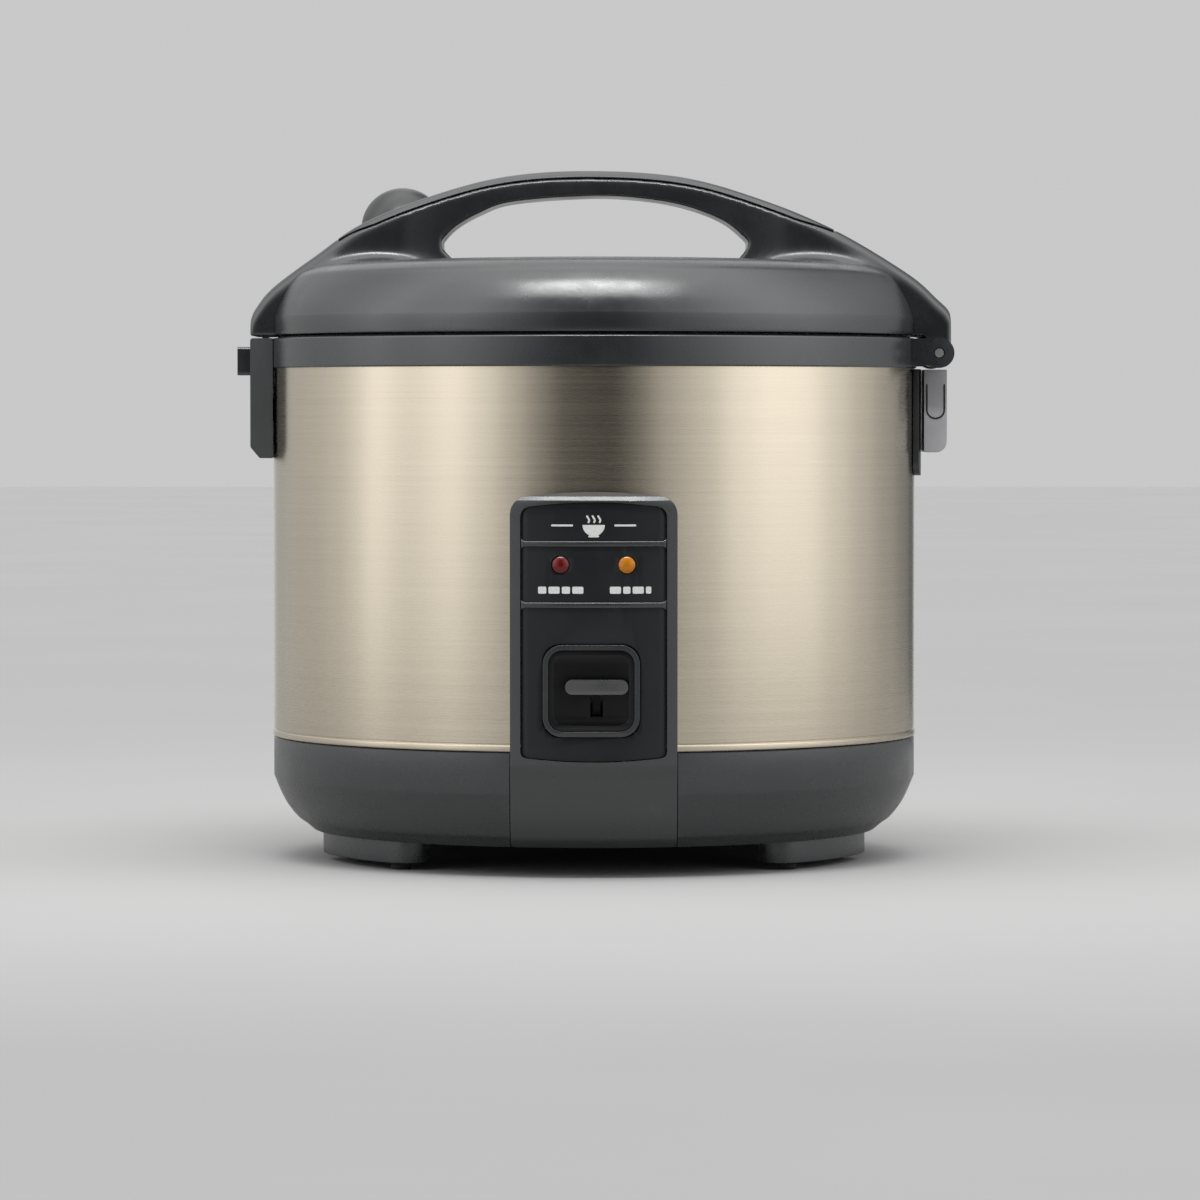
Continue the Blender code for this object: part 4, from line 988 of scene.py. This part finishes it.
def lid_inside():
    above = [(0, 240, 0), (122.5, 240, 0.8), (124, 229.6, 0.6), (137.2, 229.6, 0.5)]
    below = [(137.2, LID_LOW, 0.5), (121.8, LID_LOW, 0.8), (120.4, 238.2, 1), (0, 238.2, 0)]
    tray = turned("lid_tray", fillet([*above, *below], 0.5, False))
    cut(tray, hook_notch())
    cut(tray, upright("duct", CAP_X, CAP_Y, 230, 280, 11, 64))
    dress(tray, "lid_inner_frame")
    top = high("inner_lid").z
    rise = [(0, top, 0), (104, top, 2.5), (107, top - 1.6, 2.5), (114, top - 1.6, 0.4)]
    fall = [(114, top - 2.6, 0.4), (106.6, top - 2.6, 2.5), (103.6, top - 1, 2.5), (0, top - 1, 0)]
    lid = turned("steam_plate", fillet([*rise, *fall], 0.4, False))
    for i in range(6):
        turn = radians(60 * i)
        x, y = CAP_X + 6 * cos(turn), CAP_Y + 6 * sin(turn)
        cut(lid, upright("hole", x, y, 225, 238, 1.6, 24))
    dress(lid, "inner_lid")
    lid.modifiers.new("normals", "WEIGHTED_NORMAL").keep_sharp = True
    lip = [(119.5, 224), (112.5, 224.4, 0.2), (117, 226)]
    seal = [(120, 236.5), (120.8, 225), *lip, (114.3, 230), (114.3, 236.5)]
    dress(turned("lid_seal", fillet(seal, 0.5)), "lid_gasket")


HANDLE_TOP = [
    *((HANDLE_LOW_X, 234), (-146.8, 239), (-139, 248.3), (-120, 262.4), (-100, 276)),
    *((-67, 289), (-36, 296.6), (0, high("handle_cover").z), (38, 296), (70, 287.2)),
    *((104, 273.2), (136, 254.2), (149, 243), (154, 238), (HANDLE_HIGH_X, 234)),
]
HANDLE_LINE = smooth(HANDLE_TOP, 12)


def handle_half(x):
    """Half the handle's width: slim at the grip, wider where its legs meet the lid."""
    leg = exp(-(((abs(x) - 105) / 32) ** 2))
    end = 1 / (1 + exp((118 - abs(x)) / 8))
    return min(19.5 + 5.5 * leg + 3.5 * end * (1 - leg), LUG_HALF)


def foot_spread(x):
    """How far the leg's foot flares out over the lid at each place along the handle."""
    return 7 * exp(-(((abs(x) - 97) / 18) ** 2))


def core_section(x, top):
    """A cross-section: straight sides that flare into the dome, and a rounded top."""
    half, edge = handle_half(x), min(6, top - LID_LOW)
    flare = foot_spread(x)
    points = [(-half - flare, LID_LOW - 0.4)]
    for i in range(14):
        share = i / 13
        surface = value_at(DOME_SIDE, min(hypot(x, half + flare), BODY_R))
        z = surface - 1 + 15 * share**1.4
        z = min(max(z, LID_LOW), top - edge)
        points.append((-half - flare * exp(-3.2 * max(z - surface, 0) / 9) * (1 - share), z))
    for angle in range(180, 89, -10):
        turn = radians(angle)
        points.append((-half + edge + edge * cos(turn), top - edge + edge * sin(turn)))
    return points + mirrored(points)


def loft(name, rings):
    bm = bmesh.new()
    rows = [[bm.verts.new(Vector(p) * MM) for p in ring] for ring in rings]
    for a, b in zip(rows, rows[1:]):
        for i in range(len(a)):
            j = (i + 1) % len(a)
            bm.faces.new((a[i], a[j], b[j], b[i]))
    bm.faces.new(rows[0])
    bm.faces.new(rows[-1])
    return link(name, bm)


def finger_outline():
    """The opening under the handle, seen from the front."""
    top = [(-66.3, 268), (-60.5, 274), (-50, 280.2), (-35, 285.2), (0, 287.7)]
    top += [(24, 286.2), (42, 282.6), (57, 276.4), (67, 268)]
    right, left = [(66.4, 264.8), (63.8, 261.6)], [(-62.4, 261.4), (-65.8, 264.8)]
    return [*smooth(top, 8), *right, (58, 255), (-58, 255), *left]


def handle_core():
    ob = loft("handle_body", [[(x, y, z) for y, z in core_section(x, top)] for x, top in HANDLE_LINE])
    side = offset([p for p in DOME_SIDE if p[0] > 70], 2)
    under = [(0, CROWN - 2), *side, (BODY_R - 2, 180), (0, 180)]
    cut(ob, turned("dome_room", under, 128))
    cut(ob, plate("finger_room", [finger_outline()], "XZ", -60, 60))
    cut(ob, cover_seat())
    join(ob, hinge_rod("knuckle", LUG_HALF, 5.8))
    join(ob, box("knuckle_root", (143.4, -LUG_HALF, HINGE_Z), (HANDLE_HIGH_X, LUG_HALF, 231)))
    remeshed(ob, 0.8, 7)
    cut(ob, hinge_rod("knuckle_bore", 40, 2.4))
    cut(ob, hinge_rod("spring_room", 8, 7))
    cut(ob, box("hook_pocket", (-147.6, -10.3, 220), (-130, 10.3, 235.6)))
    for x in (-90, 90):
        cut(ob, upright("screw_hole", x, 0, 240, 268, 2.3, 24))
    dress(ob, "handle_core", angle=60)


def crest_between(start, end):
    """The handle's crest between two stations, both included."""
    inner = [p for p in HANDLE_LINE if start + 0.5 < p[0] < end - 0.5]
    return [(start, value_at(HANDLE_LINE, start)), *inner, (end, value_at(HANDLE_LINE, end))]


def cover_depth(x):
    """How thick the cover is: it thins out towards both ends."""
    return 0.9 + 2.3 * min(1, (x - COVER_START) / 16, (COVER_END - x) / 16)


def cover_seat():
    """The room for the cover in the handle's top."""
    line = crest_between(COVER_START - 0.3, COVER_END + 0.3)
    upper = [(x, z + 20) for x, z in line]
    under = [(x, z - 0.3 - cover_depth(min(max(x, COVER_START), COVER_END))) for x, z in reversed(line)]
    return plate("cover_seat", [upper + under], "XZ", -40, 40)


def handle_cover():
    """The top plate: it follows the handle's crest, and its lower edge overhangs a fine groove."""
    rings = []
    for x, top in crest_between(COVER_START, COVER_END):
        half, edge, depth = handle_half(x), 6, cover_depth(x)
        reach = sqrt(edge**2 - (edge - depth + 0.5) ** 2)
        arch = [half - edge + reach * i / 8 for i in range(8, -1, -1)]
        right = [(y, top - edge + sqrt(edge**2 - (y - half + edge) ** 2)) for y in arch]
        section = [(half - 2.2, top - depth), (half - edge + reach - 0.3, top - depth + 0.1), *right]
        rings.append([(x, y, z) for y, z in section + mirrored(section)])
    ob = loft("handle_plate", rings)
    soften(ob, 0.5)
    dress(ob, "handle_cover", angle=50)


def steam_vent():
    centre = (CAP_X, CAP_Y)
    spring = CAP_TOP - 18
    dome = [(CAP_R * sine, spring + 18 * cosine) for cosine, sine in arc((0, 0), 1, 0, 90, 19)]
    inner = [(16 * sine, spring + 15 * cosine) for cosine, sine in arc((0, 0), 1, 90, 0, 10)]
    tube = [(12.7, 261.8, 0.3), (12.7, 246, 0.8), (10.6, 246), (10.6, 262.4)]
    foot = fillet([(CAP_R, spring - 1, 0), (CAP_R, 261.8, 0.8), *tube, (16, 264)], 0.4, False)
    profile = [(0, CAP_TOP), *dome[1:], *foot[1:], *inner[:-1], (0, spring + 15)]
    cap = turned("steam_cap_dome", profile, 128, centre=centre)
    for x in (-7, 0, 7):
        slot = rounded((CAP_X + x - 2, 266), (CAP_X + x + 2, 275), (1.9,) * 4, 6)
        cut(cap, plate("slot", [slot], "XZ", CAP_Y + 5, CAP_Y + 25))
    dress(cap, "steam_cap")
    seat_lo, seat_hi = low("steam_seat"), high("steam_seat")
    seat = [(20, seat_hi.z, 0.7), (20, seat_lo.z), (13.2, seat_lo.z), (13.2, seat_hi.z, 0.5)]
    dress(turned("steam_collar", fillet(seat, 0.3), 96, centre=centre), "steam_seat")


# --- inside


def pan():
    bend, floor, inner, outer = PAN_LOW + 26, PAN_LOW + 1.6, LIP_R - 13.1, LIP_R - 11.5
    inside = [(0, floor, 0), (bend, floor, 30), (inner, 86, 30), (inner, PAN_TOP, 1.6)]
    lip = [(LIP_R - 0.6, PAN_TOP, 0.7), (LIP_R, PAN_TOP - 1.4, 0.4), (outer, PAN_TOP - 1.4, 0.6)]
    outside = [(outer, 84, 26), (bend, PAN_LOW, 26), (0, PAN_LOW, 0)]
    profile = fillet([*inside, *lip, *outside], 0.5, False, 14)
    dress(turned("cooking_pan", profile), "inner_pan")


def well():
    top = high("inner_well").z
    base = low("inner_well").z
    flange = [(WELL_R + 5, top, 0.3), (WELL_R + 5, top - 1, 0.3), (WELL_R + 0.9, top - 1, 0.3)]
    outside = [(WELL_R + 0.9, 48, 3), (WELL_R - 7, base, 3), (8, base, 0.2), (8, base + 1, 0.2)]
    inside = [(WELL_R - 7.4, base + 1, 3), (WELL_R, 48.4, 3), (WELL_R, top, 0.8)]
    ob = turned("heater_well", fillet([*flange, *outside, *inside], 0.5))
    for x in (-20, 20):
        y = -sqrt(60**2 - x**2)
        cut(ob, upright("terminal", x, y, 30, 48, 4.5, 24))
    dress(ob, "inner_well")


# --- studio


def carried_over():
    """Gives each CAD node that stays in view its procedural material and slightly rounded edges."""
    for node, ob in frame["nodes"].items():
        ob.data.materials.clear()
        # The zinc linkage arm, in shade behind the lever, is coloured near-black as painted shade instead of
        # its metal look
        ob.data.materials.append(SHADE_BLACK if node == "linkage_arm" else NODE_LOOKS[NODE_SLOTS[node]])
        bevelled(ob, 0.25, 2, 50)


def softbox(name, place, target, size, power, spread):
    lamp = bpy.data.lights.new(name, "AREA")
    lamp.shape = "RECTANGLE"
    lamp.size, lamp.size_y = size
    lamp.energy = power
    lamp.spread = radians(spread)
    ob = placed(name, lamp)
    ob.location = place
    ob.rotation_euler = (Vector(target) - Vector(place)).to_track_quat("-Z", "Y").to_euler()
    return ob


# Studio brightness by direction round the object, in degrees from the camera towards +X
STUDIO = [
    *((-180, 0.66), (-171, 0.66), (-160, 0.44), (-135, 0.55), (-118, 0.60), (-104, 0.72), (-94, 0.94)),
    *((-86, 1.26), (-70, 0.96), (-52, 1.20), (-40, 0.86), (-28, 0.48), (-19, 0.22), (-11, 0.05)),
    *((8, 0.01), (16, 0.14), (26, 0.43), (40, 0.67), (54, 1.08), (66, 1.26), (82, 1.26), (96, 0.94)),
    *((112, 0.66), (128, 0.44), (148, 0.26), (163, 0.10), (171, 0.66), (180, 0.66)),
]
STUDIO_PEAK = 1.5
SIDE_GAIN = 1.5  # the panels are brighter above the object's height
TOP_LIGHT = 1.9
BACKDROP = 0.58
FLOOR_R = 0.8  # metres: the part of the floor that the object mirrors
FAR_FLOOR_R = 12
CAMERA_LENS = 166.5  # millimetres, on a 36 mm sensor
CAMERA_DIP = 1.94  # degrees below level


def surroundings():
    """A pale studio: bright panels left and right of the camera, dark behind it, pale overhead."""
    world = bpy.data.worlds.new("studio")
    bpy.context.scene.world = world
    graph = Graph(world)
    direction = graph.node("ShaderNodeTexCoord").outputs["Generated"]
    x, y, z = graph.node("ShaderNodeSeparateXYZ", Vector=direction).outputs
    toward = graph.node("ShaderNodeMath", {"operation": "MULTIPLY"})
    angle = graph.node("ShaderNodeMath", {"operation": "ARCTAN2"})
    for socket, value in zip((*toward.inputs[:2], *angle.inputs[:2]), (y, -1, x, toward.outputs[0])):
        graph.put(socket, value)
    ramp = graph.node("ShaderNodeValToRGB", Fac=graph.spread(angle.outputs[0], -pi, pi, 0, 1))
    ramp.color_ramp.interpolation = "EASE"
    stops = ramp.color_ramp.elements
    while len(stops) > 1:
        stops.remove(stops[-1])
    for i, (degrees, value) in enumerate(STUDIO):
        place = (degrees + 180) / 360
        stop = stops[0] if i == 0 else stops.new(place)
        stop.position = place
        stop.color = (*[value / STUDIO_PEAK] * 3, 1)
    gain = graph.spread(z, 0.10, 0.40, STUDIO_PEAK, STUDIO_PEAK * SIDE_GAIN)
    ring = {"Vector": ramp.outputs["Color"], "Scale": gain}
    panels = graph.node("ShaderNodeVectorMath", {"operation": "SCALE"}, **ring)
    lit = graph.blend(graph.spread(z, 0.72, 0.95, 0, 1), panels.outputs[0], (TOP_LIGHT,) * 3)
    seen = graph.blend(graph.node("ShaderNodeLightPath").outputs["Is Camera Ray"], lit, (BACKDROP,) * 3)
    graph.put(graph.tree.nodes["Background"].inputs["Color"], seen)


def studio():
    look = floor_look()
    bm = bmesh.new()
    bmesh.ops.create_circle(bm, cap_ends=True, segments=128, radius=FLOOR_R)
    near = link("floor", bm)
    far = turned("floor_far", [(FLOOR_R / MM, 0), (FAR_FLOOR_R / MM, 0)], 128, False)
    far.visible_glossy = far.visible_diffuse = far.visible_transmission = far.visible_shadow = False
    for floor in (near, far):
        floor.data.materials.append(look)
    surroundings()
    overhead = softbox("overhead", (0, -0.80, 1.40), (0, -0.13, 0.245), (1.1, 0.14), 1.25, 60)
    flagged = bpy.data.collections.new("flagged_from_overhead")
    flagged.objects.link(bpy.data.objects["steel_band"])
    flagged.collection_objects[0].light_linking.link_state = "EXCLUDE"
    overhead.light_linking.receiver_collection = flagged
    bpy.context.scene.view_settings.view_transform = "Standard"


def camera():
    data = bpy.data.cameras.new("camera")
    data.lens = CAMERA_LENS
    data.sensor_width = 36
    ob = placed("camera", data)
    ob.location = (0.0026, -2.43, 0.194)
    ob.rotation_euler = (radians(90 - CAMERA_DIP), 0, 0)
    bpy.context.scene.camera = ob


BODY_PIECES = (carried_over, base_bowl, feet, steel_band, rim, inlet)
PANEL_PIECES = (housing, inset, marks, lamp_lenses, bezel, lever)
REAR_PIECES = (latch, dew_collector)
LID_PIECES = (lid_dome, lid_inside, handle_core, handle_cover, steam_vent)
INNER_PIECES = (pan, well)
for build in (*BODY_PIECES, *PANEL_PIECES, *REAR_PIECES, *LID_PIECES, *INNER_PIECES, studio, camera):
    build()
